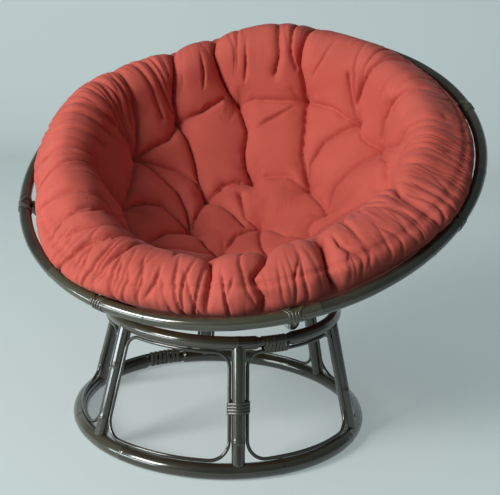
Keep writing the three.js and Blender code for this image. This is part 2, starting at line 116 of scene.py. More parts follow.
TOP_RING_ANGLE = math.atan2(TOP_RING_RADIUS, CENTRE_OVER_TOP_RING)
TILT = RIM_ANGLE - TOP_RING_ANGLE - FRONT_RISE / RIM_DISTANCE
STAND_FORWARD = RIM_DROP * math.sin(TILT)
FLOOR_RING_HEIGHT = FLOOR_POLE / 2

# Each ring as its radius, its height in the stand's or the bowl's own frame, and its pole
FLOOR_RING = (FLOOR_RING_RADIUS, FLOOR_RING_HEIGHT, FLOOR_POLE)
TOP_RING = (TOP_RING_RADIUS, TOP_RING_HEIGHT, TOP_POLE)
RIM = (RIM_RADIUS, -RIM_DROP, RIM_POLE)
LOWER_RING = (LOWER_RING_RADIUS, -LOWER_RING_DROP, RIB_POLE)

STAND = Matrix.Translation((0, -STAND_FORWARD, 0))
BOWL = Matrix.Translation((0, -STAND_FORWARD, TILT_CENTRE_HEIGHT)) @ Matrix.Rotation(TILT, 4, "X")


UP = np.array([0.0, 0.0, 1.0])


def unit(v):
    return v / np.linalg.norm(v, axis=-1, keepdims=True)


def ease(t):
    t = np.clip(t, 0, 1)
    return t * t * (3 - 2 * t)


def bell(away, width):
    return np.exp(-(away / width) ** 2)


def arc_lengths(path):
    return np.concatenate([[0], np.cumsum(np.linalg.norm(np.diff(path, axis=0), axis=1))])


def level(azimuth):
    """The level direction outward at an azimuth."""
    return np.stack([np.cos(azimuth), np.sin(azimuth), np.zeros_like(azimuth)], -1)


def even_turns(sides):
    return 2 * math.pi * np.arange(sides) / sides


def new_mesh(name, points, faces, place, attributes=None):
    """A smooth mesh object at the origin. place moves its points, and attributes are kept for each point."""
    mesh = bpy.data.meshes.new(name)
    mesh.from_pydata(np.asarray(points, float).tolist(), [], faces)
    mesh.transform(place)
    for key, values in (attributes or {}).items():
        values = np.asarray(values, np.float32)
        kind, field = ("FLOAT_VECTOR", "vector") if values.ndim == 2 else ("FLOAT", "value")
        mesh.attributes.new(key, kind, "POINT").data.foreach_set(field, values.ravel())
    mesh.polygons.foreach_set("use_smooth", np.ones(len(mesh.polygons), bool))
    mesh.update()
    piece = bpy.data.objects.new(name, mesh)
    scene.collection.objects.link(piece)
    return piece


def dress(piece, body, slot, material, *nodes):
    """Gives a piece its material, and lets it stand for CAD nodes and ride on their body. slot is not used.
    """
    piece.data.materials.clear()
    piece.data.materials.append(material)
    if nodes:
        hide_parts(*nodes)
    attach(piece, body)


# Materials. Colours are linear red, green and blue, with an alpha of 1.

STAIN_DARK = (0.014, 0.011, 0.007, 1)
STAIN_LIGHT = (0.042, 0.035, 0.021, 1)
STAIN_WORN = (0.080, 0.074, 0.042, 1)
GRAIN_DARK = (0.012, 0.008, 0.005, 1)
RING_DARK = (0.010, 0.007, 0.005, 1)
CANE_DARK = (0.036, 0.030, 0.018, 1)
CANE_LIGHT = (0.095, 0.082, 0.048, 1)
FIBRE_DARK = (0.018, 0.012, 0.008, 1)
STEEL_DARK = (0.42, 0.42, 0.41, 1)
STEEL_LIGHT = (0.60, 0.60, 0.59, 1)
CORAL_DARK = (0.53, 0.090, 0.066, 1)
CORAL_LIGHT = (0.60, 0.112, 0.084, 1)
TWILL_SHADE = (0.34, 0.045, 0.032, 1)
SLUB_PALE = (0.68, 0.19, 0.14, 1)

# A pattern is drawn out in the direction whose number is small
GRAIN_STRETCH = (1.0, 1.0, 0.035)
CLOUD_STRETCH = (1.0, 1.0, 0.25)
FIBRE_STRETCH = (1.0, 1.0, 0.03)
SLUB_STRETCH = (1.0, 0.15, 1.0)


class Nodes:
    """A short way to write a material's nodes: each call adds one and links its inputs."""

    def __init__(self, name):
        self.material = bpy.data.materials.new(name)
        self.material.use_nodes = True
        self.tree = self.material.node_tree
        self.shader = self.tree.nodes["Principled BSDF"]

    def add(self, kind, inputs=None, **settings):
        node = self.tree.nodes.new(kind)
        for key, value in settings.items():
            setattr(node, key, value)
        for key, value in (inputs or {}).items():
            self.put(node.inputs[key], value)
        return node

    def put(self, socket, value):
        if isinstance(value, bpy.types.NodeSocket):
            self.tree.links.new(value, socket)
        else:
            socket.default_value = value

    def attribute(self, name, output="Vector"):
        return self.add("ShaderNodeAttribute", attribute_name=name).outputs[output]

    def scaled(self, vector, scale):
        inputs = {0: vector, 1: scale}
        return self.add("ShaderNodeVectorMath", inputs, operation="MULTIPLY").outputs[0]

    def noise(self, vector, scale, detail=2.0, roughness=0.5):
        inputs = {"Vector": vector, "Scale": scale, "Detail": detail, "Roughness": roughness}
        return self.add("ShaderNodeTexNoise", inputs).outputs["Fac"]

    def math(self, operation, a, b=0.0, clamp=False):
        node = self.add("ShaderNodeMath", {0: a, 1: b}, operation=operation, use_clamp=clamp)
        return node.outputs[0]

    def spread(self, value, low, high, to_low=0.0, to_high=1.0):
        inputs = {"Value": value, "From Min": low, "From Max": high, "To Min": to_low, "To Max": to_high}
        return self.add("ShaderNodeMapRange", inputs).outputs["Result"]

    def mix(self, share, a, b, blend="MIX"):
        node = self.add("ShaderNodeMix", data_type="RGBA", blend_type=blend)
        for socket, value in ((node.inputs[0], share), (node.inputs[6], a), (node.inputs[7], b)):
            self.put(socket, value)
        return node.outputs[2]

    def bump(self, height, distance, strength=1.0, normal=None):
        inputs = {"Height": height, "Distance": distance, "Strength": strength}
        if normal is not None:
            inputs["Normal"] = normal
        return self.add("ShaderNodeBump", inputs).outputs["Normal"]

    def finish(self, **inputs):
        for key, value in inputs.items():
            self.put(self.shader.inputs[key.replace("_", " ")], value)
        return self.material


def rattan_material():
    """Lacquered rattan: a dark stain that varies between nodes, grain along the pole, rings at nodes."""
    n = Nodes("lacquered_rattan")
    along = n.attribute("grain")
    tone = n.attribute("tone", "Fac")
    ring = n.attribute("ring", "Fac")
    streaks = n.noise(n.scaled(along, GRAIN_STRETCH), 900.0, 3.0, 0.6)
    clouds = n.noise(n.scaled(along, CLOUD_STRETCH), 55.0, 3.0, 0.55)
    stain = n.mix(n.spread(clouds, 0.3, 0.7), STAIN_DARK, STAIN_LIGHT)
    stain = n.mix(n.math("MULTIPLY", tone, 0.75), stain, STAIN_WORN)
    stain = n.mix(n.spread(streaks, 0.42, 0.75, 0.0, 0.5), stain, GRAIN_DARK)
    stain = n.mix(n.math("MULTIPLY", ring, 0.8), stain, RING_DARK)
    rough = n.spread(streaks, 0.3, 0.7, 0.24, 0.40)
    bump = n.bump(streaks, 0.00025, 0.35)
    bump = n.bump(clouds, 0.0015, 0.25, bump)
    return n.finish(
        Base_Color=stain, Roughness=rough, Normal=bump, Specular_IOR_Level=0.15, Coat_Weight=0.9,
        Coat_Roughness=0.12, Coat_IOR=1.75,
    )


def cane_material():
    """Stained cane strip: a little lighter than the poles, with fine grooves along the strip."""
    n = Nodes("cane_strip")
    along = n.attribute("grain")
    fibres = n.noise(n.scaled(along, FIBRE_STRETCH), 2600.0, 2.0, 0.6)
    clouds = n.noise(along, 90.0, 2.0)
    stain = n.mix(n.spread(clouds, 0.3, 0.7), CANE_DARK, CANE_LIGHT)
    stain = n.mix(n.spread(fibres, 0.45, 0.7, 0.0, 0.55), stain, FIBRE_DARK)
    rough = n.spread(fibres, 0.3, 0.7, 0.3, 0.48)
    bump = n.bump(fibres, 0.0002, 0.5)
    return n.finish(Base_Color=stain, Roughness=rough, Normal=bump, Coat_Weight=0.8, Coat_Roughness=0.14)


def steel_material():
    n = Nodes("screw_steel")
    place = n.add("ShaderNodeTexCoord").outputs["Object"]
    marks = n.noise(place, 900.0, 3.0)
    tint = n.mix(n.spread(marks, 0.3, 0.7), STEEL_DARK, STEEL_LIGHT)
    return n.finish(Base_Color=tint, Roughness=n.spread(marks, 0.3, 0.7, 0.28, 0.46), Metallic=1.0)


def cotton_material():
    """Coral cotton twill: diagonal ribs, slubs, soft fuzz at grazing angles, and gathers at the seam."""
    n = Nodes("cushion_cotton")
    place = n.add("ShaderNodeTexCoord").outputs["Object"]
    weave = n.attribute("weave")
    ribs = {"Vector": weave, "Scale": 260.0, "Distortion": 1.2, "Detail": 2.0, "Detail Scale": 3.0}
    twill = n.add("ShaderNodeTexWave", ribs, wave_type="BANDS", bands_direction="DIAGONAL").outputs["Fac"]
    slubs = n.noise(n.scaled(weave, SLUB_STRETCH), 900.0, 2.0)
    clouds = n.noise(place, 7.0, 3.0)
    colour = n.mix(n.spread(clouds, 0.35, 0.65), CORAL_DARK, CORAL_LIGHT)
    colour = n.mix(n.spread(twill, 0.0, 0.6, 0.22, 0.0), colour, TWILL_SHADE)
    colour = n.mix(n.spread(slubs, 0.55, 0.75, 0.0, 0.25), colour, SLUB_PALE)
    gathers = n.math("ABSOLUTE", n.math("SUBTRACT", n.noise(n.attribute("pleat"), 34.0, 1.0, 0.4), 0.5))
    gathers = n.math("MULTIPLY", n.math("MINIMUM", gathers, 0.12), n.attribute("gathered", "Fac"))
    gathers = n.math("MULTIPLY", gathers, n.spread(n.noise(place, 11.0, 1.0), 0.38, 0.62, 0.25, 1.0))
    bump = n.bump(gathers, 0.03, 0.65)
    bump = n.bump(twill, 0.00025, 0.35, bump)
    bump = n.bump(slubs, 0.0003, 0.25, bump)
    return n.finish(
        Base_Color=colour, Roughness=n.spread(slubs, 0.3, 0.7, 0.78, 0.9), Normal=bump,
        Sheen_Weight=0.08, Sheen_Roughness=0.4, Specular_IOR_Level=0.25,
    )


rattan = rattan_material()
cane = cane_material()
steel = steel_material()
cotton = cotton_material()


# Poles

POLE_SIDES = 28
HOOP_SIDES = 14
STATION_STEP = 0.006
LEAST_STEP = 0.0001
NODE_HALF = 0.007
NODE_STEP = 0.001
NODE_RISE = 0.0006
NODE_WIDTH = 0.0021
NODE_SHOULDER = 2.2 * NODE_WIDTH
NODE_GROOVE = 0.45 * NODE_WIDTH
NODE_GROOVE_DEPTH = 0.6 * NODE_RISE
NODE_MARK = 0.5 * NODE_WIDTH
NODE_SPACING = (0.19, 0.36)
SHORT_NODE_SPACING = (0.12, 0.30)
NODE_FROM_END = 0.05
NODE_APART = 0.15
WAVES = 5
WAVE_LENGTH = 0.16
HOOP_WAVE_LENGTH = 0.08
UNEVEN = 0.0003
HOOP_UNEVEN = 0.0002
PHASES = 6.3
SEAT_RAMP = 0.006
HALVINGS = 40


def pole_stations(length, node_places):
    """Distances along a pole: even steps, with finer ones about each natural node."""
    places = [np.arange(0, length, STATION_STEP), [length]]
    for place in node_places:
        fine = np.arange(place - NODE_HALF, place + NODE_HALF, NODE_STEP)
        places.append(fine[(fine > 0) & (fine < length)])
    places = np.sort(np.concatenate(places))
    keep = np.concatenate([[True], np.diff(places) > NODE_STEP / 2])
    keep[-1] = True
    return places[keep]


def random_nodes(length, rng, spacing=NODE_SPACING):
    places, at = [], rng.uniform(0.04, spacing[0])
    while at < length - 0.03:
        places.append(at)
        at += rng.uniform(*spacing)
    return places


def pole_shape(s, node_places, rng, closed_length=None):
    """The swell of the radius, the ring mark and the tone of the stain at distances along a pole."""
    swell, ring = np.zeros_like(s), np.zeros_like(s)
    edges = np.sort(np.asarray(node_places, float))
    tones = rng.uniform(0, 1, len(edges) + 1)
    if closed_length:
        tones[-1] = tones[0]
    tone = tones[np.searchsorted(edges, s)]
    for place in node_places:
        away = s - place
        swell += NODE_RISE * bell(away, NODE_SHOULDER)
        swell -= NODE_GROOVE_DEPTH * bell(away, NODE_GROOVE)
        ring += bell(away, NODE_MARK)
    return swell, np.clip(ring, 0, 1), tone


def uneven(s, theta, rng, size=UNEVEN, wave=WAVE_LENGTH):
    """A slow, slight unroundness of a pole's surface, never outward of its true circle."""
    total = np.zeros(np.broadcast(s, theta).shape)
    for _ in range(WAVES):
        turns = rng.integers(0, 3)
        length = wave * rng.uniform(0.5, 2)
        total += np.sin(2 * math.pi * s / length + turns * theta + rng.uniform(0, PHASES))
    return size * (total / WAVES - 1)


def tube_faces(rings, sides, closed):
    faces = []
    for i in range(rings if closed else rings - 1):
        a, b = i * sides, ((i + 1) % rings) * sides
        faces += [(a + j, a + (j + 1) % sides, b + (j + 1) % sides, b + j) for j in range(sides)]
    if not closed:
        first, last = rings * sides, rings * sides + 1
        end = (rings - 1) * sides
        faces += [(first, (j + 1) % sides, j) for j in range(sides)]
        faces += [(last, end + j, end + (j + 1) % sides) for j in range(sides)]
    return faces


def tube_points(at, x, y, radius, theta):
    """Points round each station: at, x and y are (n, 3), radius is (n, sides)."""
    across = np.cos(theta)[..., None] * x[:, None] + np.sin(theta)[..., None] * y[:, None]
    return at[:, None] + radius[..., None] * across


def ring_frame(radius, height, azimuth):
    """Frames on a ring's centre line: x points outward and y up, so that x cross y points clockwise."""
    out = level(azimuth)
    return out * radius + UP * height, out, np.broadcast_to(UP, out.shape)


def ring_pole(name, ring, start, place, seed, node_azimuths, seat):
    """A bent pole that closes on itself. Its two ends meet at the azimuth start, under a cane binding.

    node_azimuths are those of its natural nodes that are known, and seat is half the length of its splice.
    """
    rng = np.random.default_rng(seed)
    radius, height, pole = ring
    length = 2 * math.pi * radius
    places = [((start - math.radians(a)) % (2 * math.pi)) * radius for a in node_azimuths]
    for extra in random_nodes(length, rng):
        if all(abs(extra - p) > NODE_APART for p in places):
            places.append(extra)
    s = pole_stations(length, places)[:-1]
    theta = even_turns(POLE_SIDES)
    at, x, y = ring_frame(radius, height, start - s / radius)
    swell, mark, tone = pole_shape(s, places, rng, length)
    size = pole / 2 + swell[:, None] + uneven(s[:, None], theta[None], rng)
    if seat:
        size -= seat_cut(s, radius, seat)[:, None]
    points = tube_points(at, x, y, size, theta).reshape(-1, 3)
    faces = tube_faces(len(s), POLE_SIDES, True)
    return new_mesh(name, points, faces, place, grain_of(s, theta, size, mark, tone))


def seat_cut(s, radius, half_length):
    """How much the ring is shaved under its splice, which lies about the ring's start."""
    away = np.minimum(s, 2 * math.pi * radius - s)
    return SPLICE_SEAT_DEPTH * (1 - ease((away - half_length) / SEAT_RAMP))


def grain_of(s, theta, size, ring, tone):
    along = np.broadcast_to(s[:, None], size.shape)
    grain = np.stack([size * np.cos(theta), size * np.sin(theta), along], -1).reshape(-1, 3)
    return {"grain": grain, "ring": np.repeat(ring, len(theta)), "tone": np.repeat(tone, len(theta))}


# Post axes: from ring centre line to ring centre line, in the upright plane through the stand's axis
POST_RISE = np.array([TOP_RING_RADIUS - FLOOR_RING_RADIUS, TOP_RING_HEIGHT - FLOOR_RING_HEIGHT])
POST_LENGTH = float(np.linalg.norm(POST_RISE))
POST_RISE = POST_RISE / POST_LENGTH


def on_cone(azimuth, slant):
    """A point on the cone of the post axes, its outward normal and the way up the slope."""
    azimuth, slant = np.broadcast_arrays(np.asarray(azimuth, float), np.asarray(slant, float))
    out = level(azimuth)
    radius = (FLOOR_RING_RADIUS + POST_RISE[0] * slant)[..., None]
    height = (FLOOR_RING_HEIGHT + POST_RISE[1] * slant)[..., None]
    normal = out * POST_RISE[1] - UP * POST_RISE[0]
    return out * radius + UP * height, normal, out * POST_RISE[0] + UP * POST_RISE[1]


def post_azimuth(i):
    return FIRST_POST + 2 * math.pi * i / POST_COUNT


def to_ring(points, radius, height):
    """Distance of points from a ring's centre line."""
    out = np.hypot(points[..., 0], points[..., 1]) - radius
    return np.hypot(out, points[..., 2] - height)


def coped_pole(name, frame_at, length, pole, rings, place, seed):
    """A pole whose two ends are coped to fit against two rings.

    frame_at(s) gives the centre line's frames. Each line of the surface runs from one ring to the other.
    """
    rng = np.random.default_rng(seed)
    theta = even_turns(POLE_SIDES)
    places = random_nodes(length, rng, SHORT_NODE_SPACING)
    places = [p for p in places if NODE_FROM_END < p < length - NODE_FROM_END]
    s = pole_stations(length, places)
    swell, mark, tone = pole_shape(s, places, rng)
    size = pole / 2 + swell[:, None] + uneven(s[:, None], theta[None], rng)

    def point(t):
        at, x, y = frame_at(t)
        return at + pole / 2 * (np.cos(theta)[:, None] * x + np.sin(theta)[:, None] * y)

    limits = []
    for start, (radius, height, ring_pole_size) in zip((MOUTH_SHORT, length - MOUTH_SHORT), rings):
        near = np.full(POLE_SIDES, start)
        far = np.full(POLE_SIDES, length / 2)
        for _ in range(HALVINGS):
            middle = (near + far) / 2
            outside = to_ring(point(middle), radius, height) > ring_pole_size / 2 + JOINT_GAP
            far = np.where(outside, middle, far)
            near = np.where(outside, near, middle)
        limits.append(far)
    low, high = limits
    keep = (s > low.min() - STATION_STEP) & (s < high.max() + STATION_STEP)
    s, size, mark, tone = s[keep], size[keep], mark[keep], tone[keep]
    t = spread_apart(np.clip(s[:, None], low, high), low, high)
    points = []
    for j in range(POLE_SIDES):
        at, x, y = frame_at(t[:, j])
        points.append(at + size[:, j:j + 1] * (math.cos(theta[j]) * x + math.sin(theta[j]) * y))
    ends = [frame_at(np.array([end]))[0][0] for end in (low.max(), high.min())]
    points = np.concatenate([np.stack(points, 1).reshape(-1, 3), ends])
    attributes = {}
    for key, values in grain_of(s, theta, size, mark, tone).items():
        attributes[key] = np.concatenate([values, np.zeros((2,) + values.shape[1:])])
    return new_mesh(name, points, tube_faces(len(s), POLE_SIDES, False), place, attributes)


def spread_apart(t, low, high):
    """Keeps the stations of each line in order between its two ends, and a least step apart."""
    n = len(t)
    order = np.arange(n)[:, None] * LEAST_STEP
    t = np.maximum.accumulate(np.maximum(t - order, low), 0) + order
    back = (n - 1 - np.arange(n))[:, None] * LEAST_STEP
    return np.minimum(t, high - back)


def cone_frame(azimuth):
    """Frames along a post, from the floor ring's centre line to the top ring's."""
    def frame_at(s):
        at, normal, rise = on_cone(azimuth, s)
        return at, normal, np.cross(rise, normal)

    return frame_at


def meridian_frame(azimuth):
    """Frames along a rib, from the lower ring's centre line to the rim's."""
    out = level(azimuth)

    def frame_at(s):
        angle = (LOWER_RING_ANGLE + np.asarray(s, float) / BOWL_RADIUS)[..., None]
        x = out * np.sin(angle) - UP * np.cos(angle)
        way = out * np.cos(angle) + UP * np.sin(angle)
        return x * BOWL_RADIUS, x, np.cross(way, x)

    return frame_at


def follow(path, normals, closed):
    """Frames along a path: x is the given normal, squared to the path."""
    ahead = np.roll(path, -1, 0) if closed else np.concatenate([path[1:], path[-1:]])
    behind = np.roll(path, 1, 0) if closed else np.concatenate([path[:1], path[:-1]])
    way = unit(ahead - behind)
    x = unit(normals - way * (normals * way).sum(-1, keepdims=True))
    return x, np.cross(way, x)


# Thin hoops that line the bays
HOOP_TO_POST = POST_POLE / 2 + JOINT_GAP + HOOP_POLE / 2
HOOP_FLOOR_SLANT = FLOOR_POLE / 2 + JOINT_GAP + HOOP_POLE / 2
HOOP_TOP_SLANT = POST_LENGTH - TOP_POLE / 2 - JOINT_GAP - HOOP_POLE / 2
HOOP_CORNER_STEPS = 14
HOOP_SIDE_STEPS = 40


def half_bay(slant):
    radius = FLOOR_RING_RADIUS + POST_RISE[0] * slant
    return radius * (math.pi / POST_COUNT - math.asin(HOOP_TO_POST / radius))


def hoop_run(bottom):
    """The half length of a hoop's straight run along a ring."""
    if bottom:
        return half_bay(HOOP_FLOOR_SLANT) - HOOP_LOWER_CORNER
    return half_bay(HOOP_TOP_SLANT) - HOOP_UPPER_CORNER


def bay_hoop(name, azimuth, seed):
    """A thin hoop that lines a bay: it runs along both rings and both posts, with round corners."""
    flat = []

    def edge(side, bottom):
        slant = HOOP_FLOOR_SLANT if bottom else HOOP_TOP_SLANT
        for share in np.linspace(-1, 1, HOOP_SIDE_STEPS)[1:-1]:
            flat.append((side * hoop_run(bottom) * share, slant))

    def corner(side, bottom, start, end):
        radius = HOOP_LOWER_CORNER if bottom else HOOP_UPPER_CORNER
        for a in np.linspace(start, end, HOOP_CORNER_STEPS):
            rise = radius * (1 - math.cos(a))
            slant = HOOP_FLOOR_SLANT + rise if bottom else HOOP_TOP_SLANT - rise
            flat.append((side * (half_bay(slant) - radius * (1 - math.sin(a))), slant))

    def upright(side, rising):
        low, high = HOOP_FLOOR_SLANT + HOOP_LOWER_CORNER, HOOP_TOP_SLANT - HOOP_UPPER_CORNER
        for share in np.linspace(0, 1, HOOP_SIDE_STEPS)[1:-1]:
            slant = low + (high - low) * (share if rising else 1 - share)
            flat.append((side * half_bay(slant), slant))

    for side, bottom in ((1, True), (-1, False)):
        edge(side, bottom)
        corner(side, bottom, 0, math.pi / 2)
        upright(side, bottom)
        corner(side, not bottom, math.pi / 2, 0)
    along, slant = np.array(flat).T
    radius = FLOOR_RING_RADIUS + POST_RISE[0] * slant
    path, normals, _ = on_cone(azimuth + math.pi / POST_COUNT + along / radius, slant)
    x, y = follow(path, normals, True)
    rng = np.random.default_rng(seed)
    s = arc_lengths(path)
    theta = even_turns(HOOP_SIDES)
    size = HOOP_POLE / 2 + uneven(s[:, None], theta[None], rng, HOOP_UNEVEN, HOOP_WAVE_LENGTH)
    points = tube_points(path, x, y, size, theta).reshape(-1, 3)
    tone = 0.25 + 0.25 * np.sin(s * 17 + rng.uniform(0, 6))
    attributes = grain_of(s, theta, size, np.zeros_like(s), tone)
    return new_mesh(name, points, tube_faces(len(path), HOOP_SIDES, True), STAND, attributes)


# Cane bindings

STRIP_EDGE = 0.12  # the angle at which the dome starts
STRIP_ROUNDNESS = 0.7
STRIP_POINTS = 9
STRIP_FLAT = 0.8  # of the strip's width
STRIP_SWAY = 0.3  # of the room between two turns
HOOP_ARC_STEPS = 12
SPLICE_ARC_STEPS = 30
POST_ARC_STEPS = 10
RIM_ARC_STEPS = 44


def belt(arcs, gap):
    """The outline that one turn follows: arcs about the poles that it ties, drawn tight like a belt.

    Each arc is (x, y, radius, start angle, end angle, steps). Returns places and outward normals.
    """
    places, normals = [], []
    for cx, cy, radius, start, end, steps in arcs:
        for a in np.linspace(start, end, steps + 1):
            distance = radius + gap + CANE_THICKNESS / 2
            normals.append((math.cos(a), math.sin(a)))
            places.append((cx + distance * math.cos(a), cy + distance * math.sin(a)))
    return np.array(places), np.array(normals)


def strip_section(width):
    """A cane strip's section: flat against the pole and domed outside, with round edges."""
    half, thick = width / 2, CANE_THICKNESS
    turns = np.linspace(STRIP_EDGE, math.pi - STRIP_EDGE, STRIP_POINTS)
    dome = [(-thick / 2 + thick * math.sin(a) ** STRIP_ROUNDNESS, -half * math.cos(a)) for a in turns]
    return np.array(dome + [(-thick / 2, half * STRIP_FLAT), (-thick / 2, -half * STRIP_FLAT)])


def side_by_side(number, share):
    """The shift along the poles of turns that lie side by side all round."""
    return 0.0


def wind(name, outline, turns, pitch, width, place, matrix, seed, shift=side_by_side):
    """A strip wound round an outline. place(s) gives the frame at the distance s along the poles."""
    places, normals = outline
    steps = np.linalg.norm(np.roll(places, -1, 0) - places, axis=1)
    shares = np.concatenate([[0], np.cumsum(steps)[:-1]]) / steps.sum()
    rng = np.random.default_rng(seed)
    sway = rng.uniform(-1, 1, turns + 1) * (pitch - width) * STRIP_SWAY
    n = len(places)
    path, out = [], []
    for i in range(turns * n + 1):
        number = min(i // n, turns - 1)
        k = i % n
        share = 1.0 if i == turns * n else shares[k]
        wander = sway[number] * (1 - share) + sway[number + 1] * share
        at, x, y = place(pitch * (number + share - turns / 2) + shift(number, share) + wander)
        path.append(at + x * places[k][0] + y * places[k][1])
        out.append(x * normals[k][0] + y * normals[k][1])
    path = np.array(path)
    x, y = follow(path, np.array(out), False)
    section = strip_section(width)
    sides = len(section)
    points = path[:, None] + section[:, 0, None] * x[:, None] + section[:, 1, None] * y[:, None]
    points = np.concatenate([points.reshape(-1, 3), path[[0, -1]]])
    across = np.broadcast_to(section, (len(path), sides, 2))
    along = np.broadcast_to(arc_lengths(path)[:, None, None], (len(path), sides, 1))
    grain = np.concatenate([across, along], -1).reshape(-1, 3)
    grain = np.concatenate([grain, grain[[0, -1]]])
    return new_mesh(name, points, tube_faces(len(path), sides, False), matrix, {"grain": grain})


def along_ring(ring, azimuth):
    radius, height, _ = ring

    def place(s):
        return ring_frame(radius, height, azimuth + s / radius)

    return place


def tie_outline(pole_radius, distance, angle):
    """Ties a thin hoop to a big pole: the hoop's centre is at a distance and angle from the pole's."""
    lean = math.acos((pole_radius - HOOP_POLE / 2) / distance)
    centre = (distance * math.cos(angle), distance * math.sin(angle))
    pole = (0, 0, pole_radius, angle + lean, angle + 2 * math.pi - lean, SPLICE_ARC_STEPS)
    hoop = (*centre, HOOP_POLE / 2, angle - lean, angle + lean, HOOP_ARC_STEPS)
    return belt([pole, hoop], CANE_TIE_GAP)


def splice_azimuth(post, bottom, pitch, radius):
    """A splice starts where the hoop's straight run starts, on the side of its post."""
    length = SPLICE_TURNS * pitch + SPLICE_CANE_WIDTH
    return post_azimuth(post) + math.pi / POST_COUNT - (hoop_run(bottom) - length / 2) / radius


SLOPE_ANGLE = math.atan2(POST_RISE[1], POST_RISE[0])
TOP_SPLICE_AZIMUTH = splice_azimuth(0, False, TOP_SPLICE_PITCH, TOP_RING_RADIUS)
FLOOR_SPLICE_AZIMUTH = splice_azimuth(3, True, FLOOR_SPLICE_PITCH, FLOOR_RING_RADIUS)


def half_splice(pitch):
    return (SPLICE_TURNS * pitch + 2 * SPLICE_CANE_WIDTH) / 2


def post_binding(name, azimuth, seed):
    """Ties both hoops beside a post to it."""
    lean = math.acos((POST_POLE - HOOP_POLE) / 2 / HOOP_TO_POST)
    hoop, post = HOOP_POLE / 2, POST_POLE / 2
    outline = belt([
        (HOOP_TO_POST, 0, hoop, -lean, lean, POST_ARC_STEPS),
        (0, 0, post, lean, math.pi - lean, POST_ARC_STEPS),
        (-HOOP_TO_POST, 0, hoop, math.pi - lean, math.pi + lean, POST_ARC_STEPS),
        (0, 0, post, math.pi + lean, 2 * math.pi - lean, POST_ARC_STEPS),
    ], CANE_TIE_GAP)

    def place(s):
        at, normal, rise = on_cone(azimuth, POST_LENGTH / 2 + s)
        return at, np.cross(normal, rise), normal

    return wind(name, outline, BINDING_TURNS, POST_CANE_PITCH, POST_CANE_WIDTH, place, STAND, seed)


def rim_binding(name, azimuth, seed):
    """Four turns round the rim at a rib: close together outside, and on both sides of the rib inside."""
    toward_rib = RIM_ANGLE + 3 * math.pi / 4
    circle = (0, 0, RIM_POLE / 2, toward_rib - math.pi, toward_rib + math.pi, RIM_ARC_STEPS)
    places, normals = belt([circle], CANE_GAP)
    beside = RIB_POLE / 2 + RIM_CANE_WIDTH / 2 + CANE_GAP / 2 - RIM_CANE_PITCH / 2

    def shift(number, share):
        side = -1 if number < BINDING_TURNS / 2 else 1
        away = min(share, 1 - share)
        return side * beside * float(ease((away - TOGETHER_SHARE) / (BESIDE_RIB_SHARE - TOGETHER_SHARE)))

    outline, place = (places[:-1], normals[:-1]), along_ring(RIM, azimuth)
    return wind(name, outline, BINDING_TURNS, RIM_CANE_PITCH, RIM_CANE_WIDTH, place, BOWL, seed, shift)


# The first seed of each kind of piece
RING_SEEDS, POST_SEEDS, HOOP_SEEDS, RIB_SEEDS = 11, 20, 30, 40
RIM_BINDING_SEEDS, POST_BINDING_SEEDS, TIE_SEEDS = 60, 70, 72
RIM_NODE_AZIMUTHS = (-153, -122, 30.5, -26)


def dress_pole(piece, body, node):
    dress(piece, body, "lacquered_rattan", rattan, node)


def dress_binding(piece, body, node):
    dress(piece, body, "cane_strip", cane, node)


def build_rings():
    rings = [
        ("floor_ring", "stand", FLOOR_RING, FLOOR_SPLICE_AZIMUTH, (), half_splice(FLOOR_SPLICE_PITCH)),
        ("top_ring", "stand", TOP_RING, TOP_SPLICE_AZIMUTH, (), half_splice(TOP_SPLICE_PITCH)),
        ("rim", "bowl_frame", RIM, FIRST_RIB, RIM_NODE_AZIMUTHS, None),
        ("lower_ring", "bowl_frame", LOWER_RING, FIRST_RIB, (), None),
    ]
    for i, (node, body, ring, start, node_azimuths, seat) in enumerate(rings):
        place = STAND if body == "stand" else BOWL
        pole = ring_pole(f"{node}_pole", ring, start, place, RING_SEEDS + i, node_azimuths, seat)
        dress_pole(pole, body, node)


def build_posts():
    rings = (FLOOR_RING, TOP_RING)
    for i in range(POST_COUNT):
        azimuth, node, hoop = post_azimuth(i), f"post_{i + 1}", f"bay_hoop_{i + 1}"
        centre_line = cone_frame(azimuth)
        post = coped_pole(f"{node}_pole", centre_line, POST_LENGTH, POST_POLE, rings, STAND, POST_SEEDS + i)
        dress_pole(post, "stand", node)
        dress_pole(bay_hoop(f"{hoop}_cane", azimuth, HOOP_SEEDS + i), "stand", hoop)
        for level in ("top", "floor"):
            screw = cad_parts[f"post_screw_{level}_{i + 1}"]
            screw.data.materials.clear()
            screw.data.materials.append(steel)


def build_ribs():
    length, rings = (RIM_ANGLE - LOWER_RING_ANGLE) * BOWL_RADIUS, (LOWER_RING, RIM)
    for i in range(RIB_COUNT):
        azimuth = FIRST_RIB + 2 * math.pi * i / RIB_COUNT
        node, tie = f"rib_{i + 1}", f"rim_binding_{i + 1}"
        centre_line = meridian_frame(azimuth)
        rib = coped_pole(f"{node}_pole", centre_line, length, RIB_POLE, rings, BOWL, RIB_SEEDS + i)
        dress_pole(rib, "bowl_frame", node)
        dress_binding(rim_binding(f"{tie}_cane", azimuth, RIM_BINDING_SEEDS + i), "bowl_frame", tie)


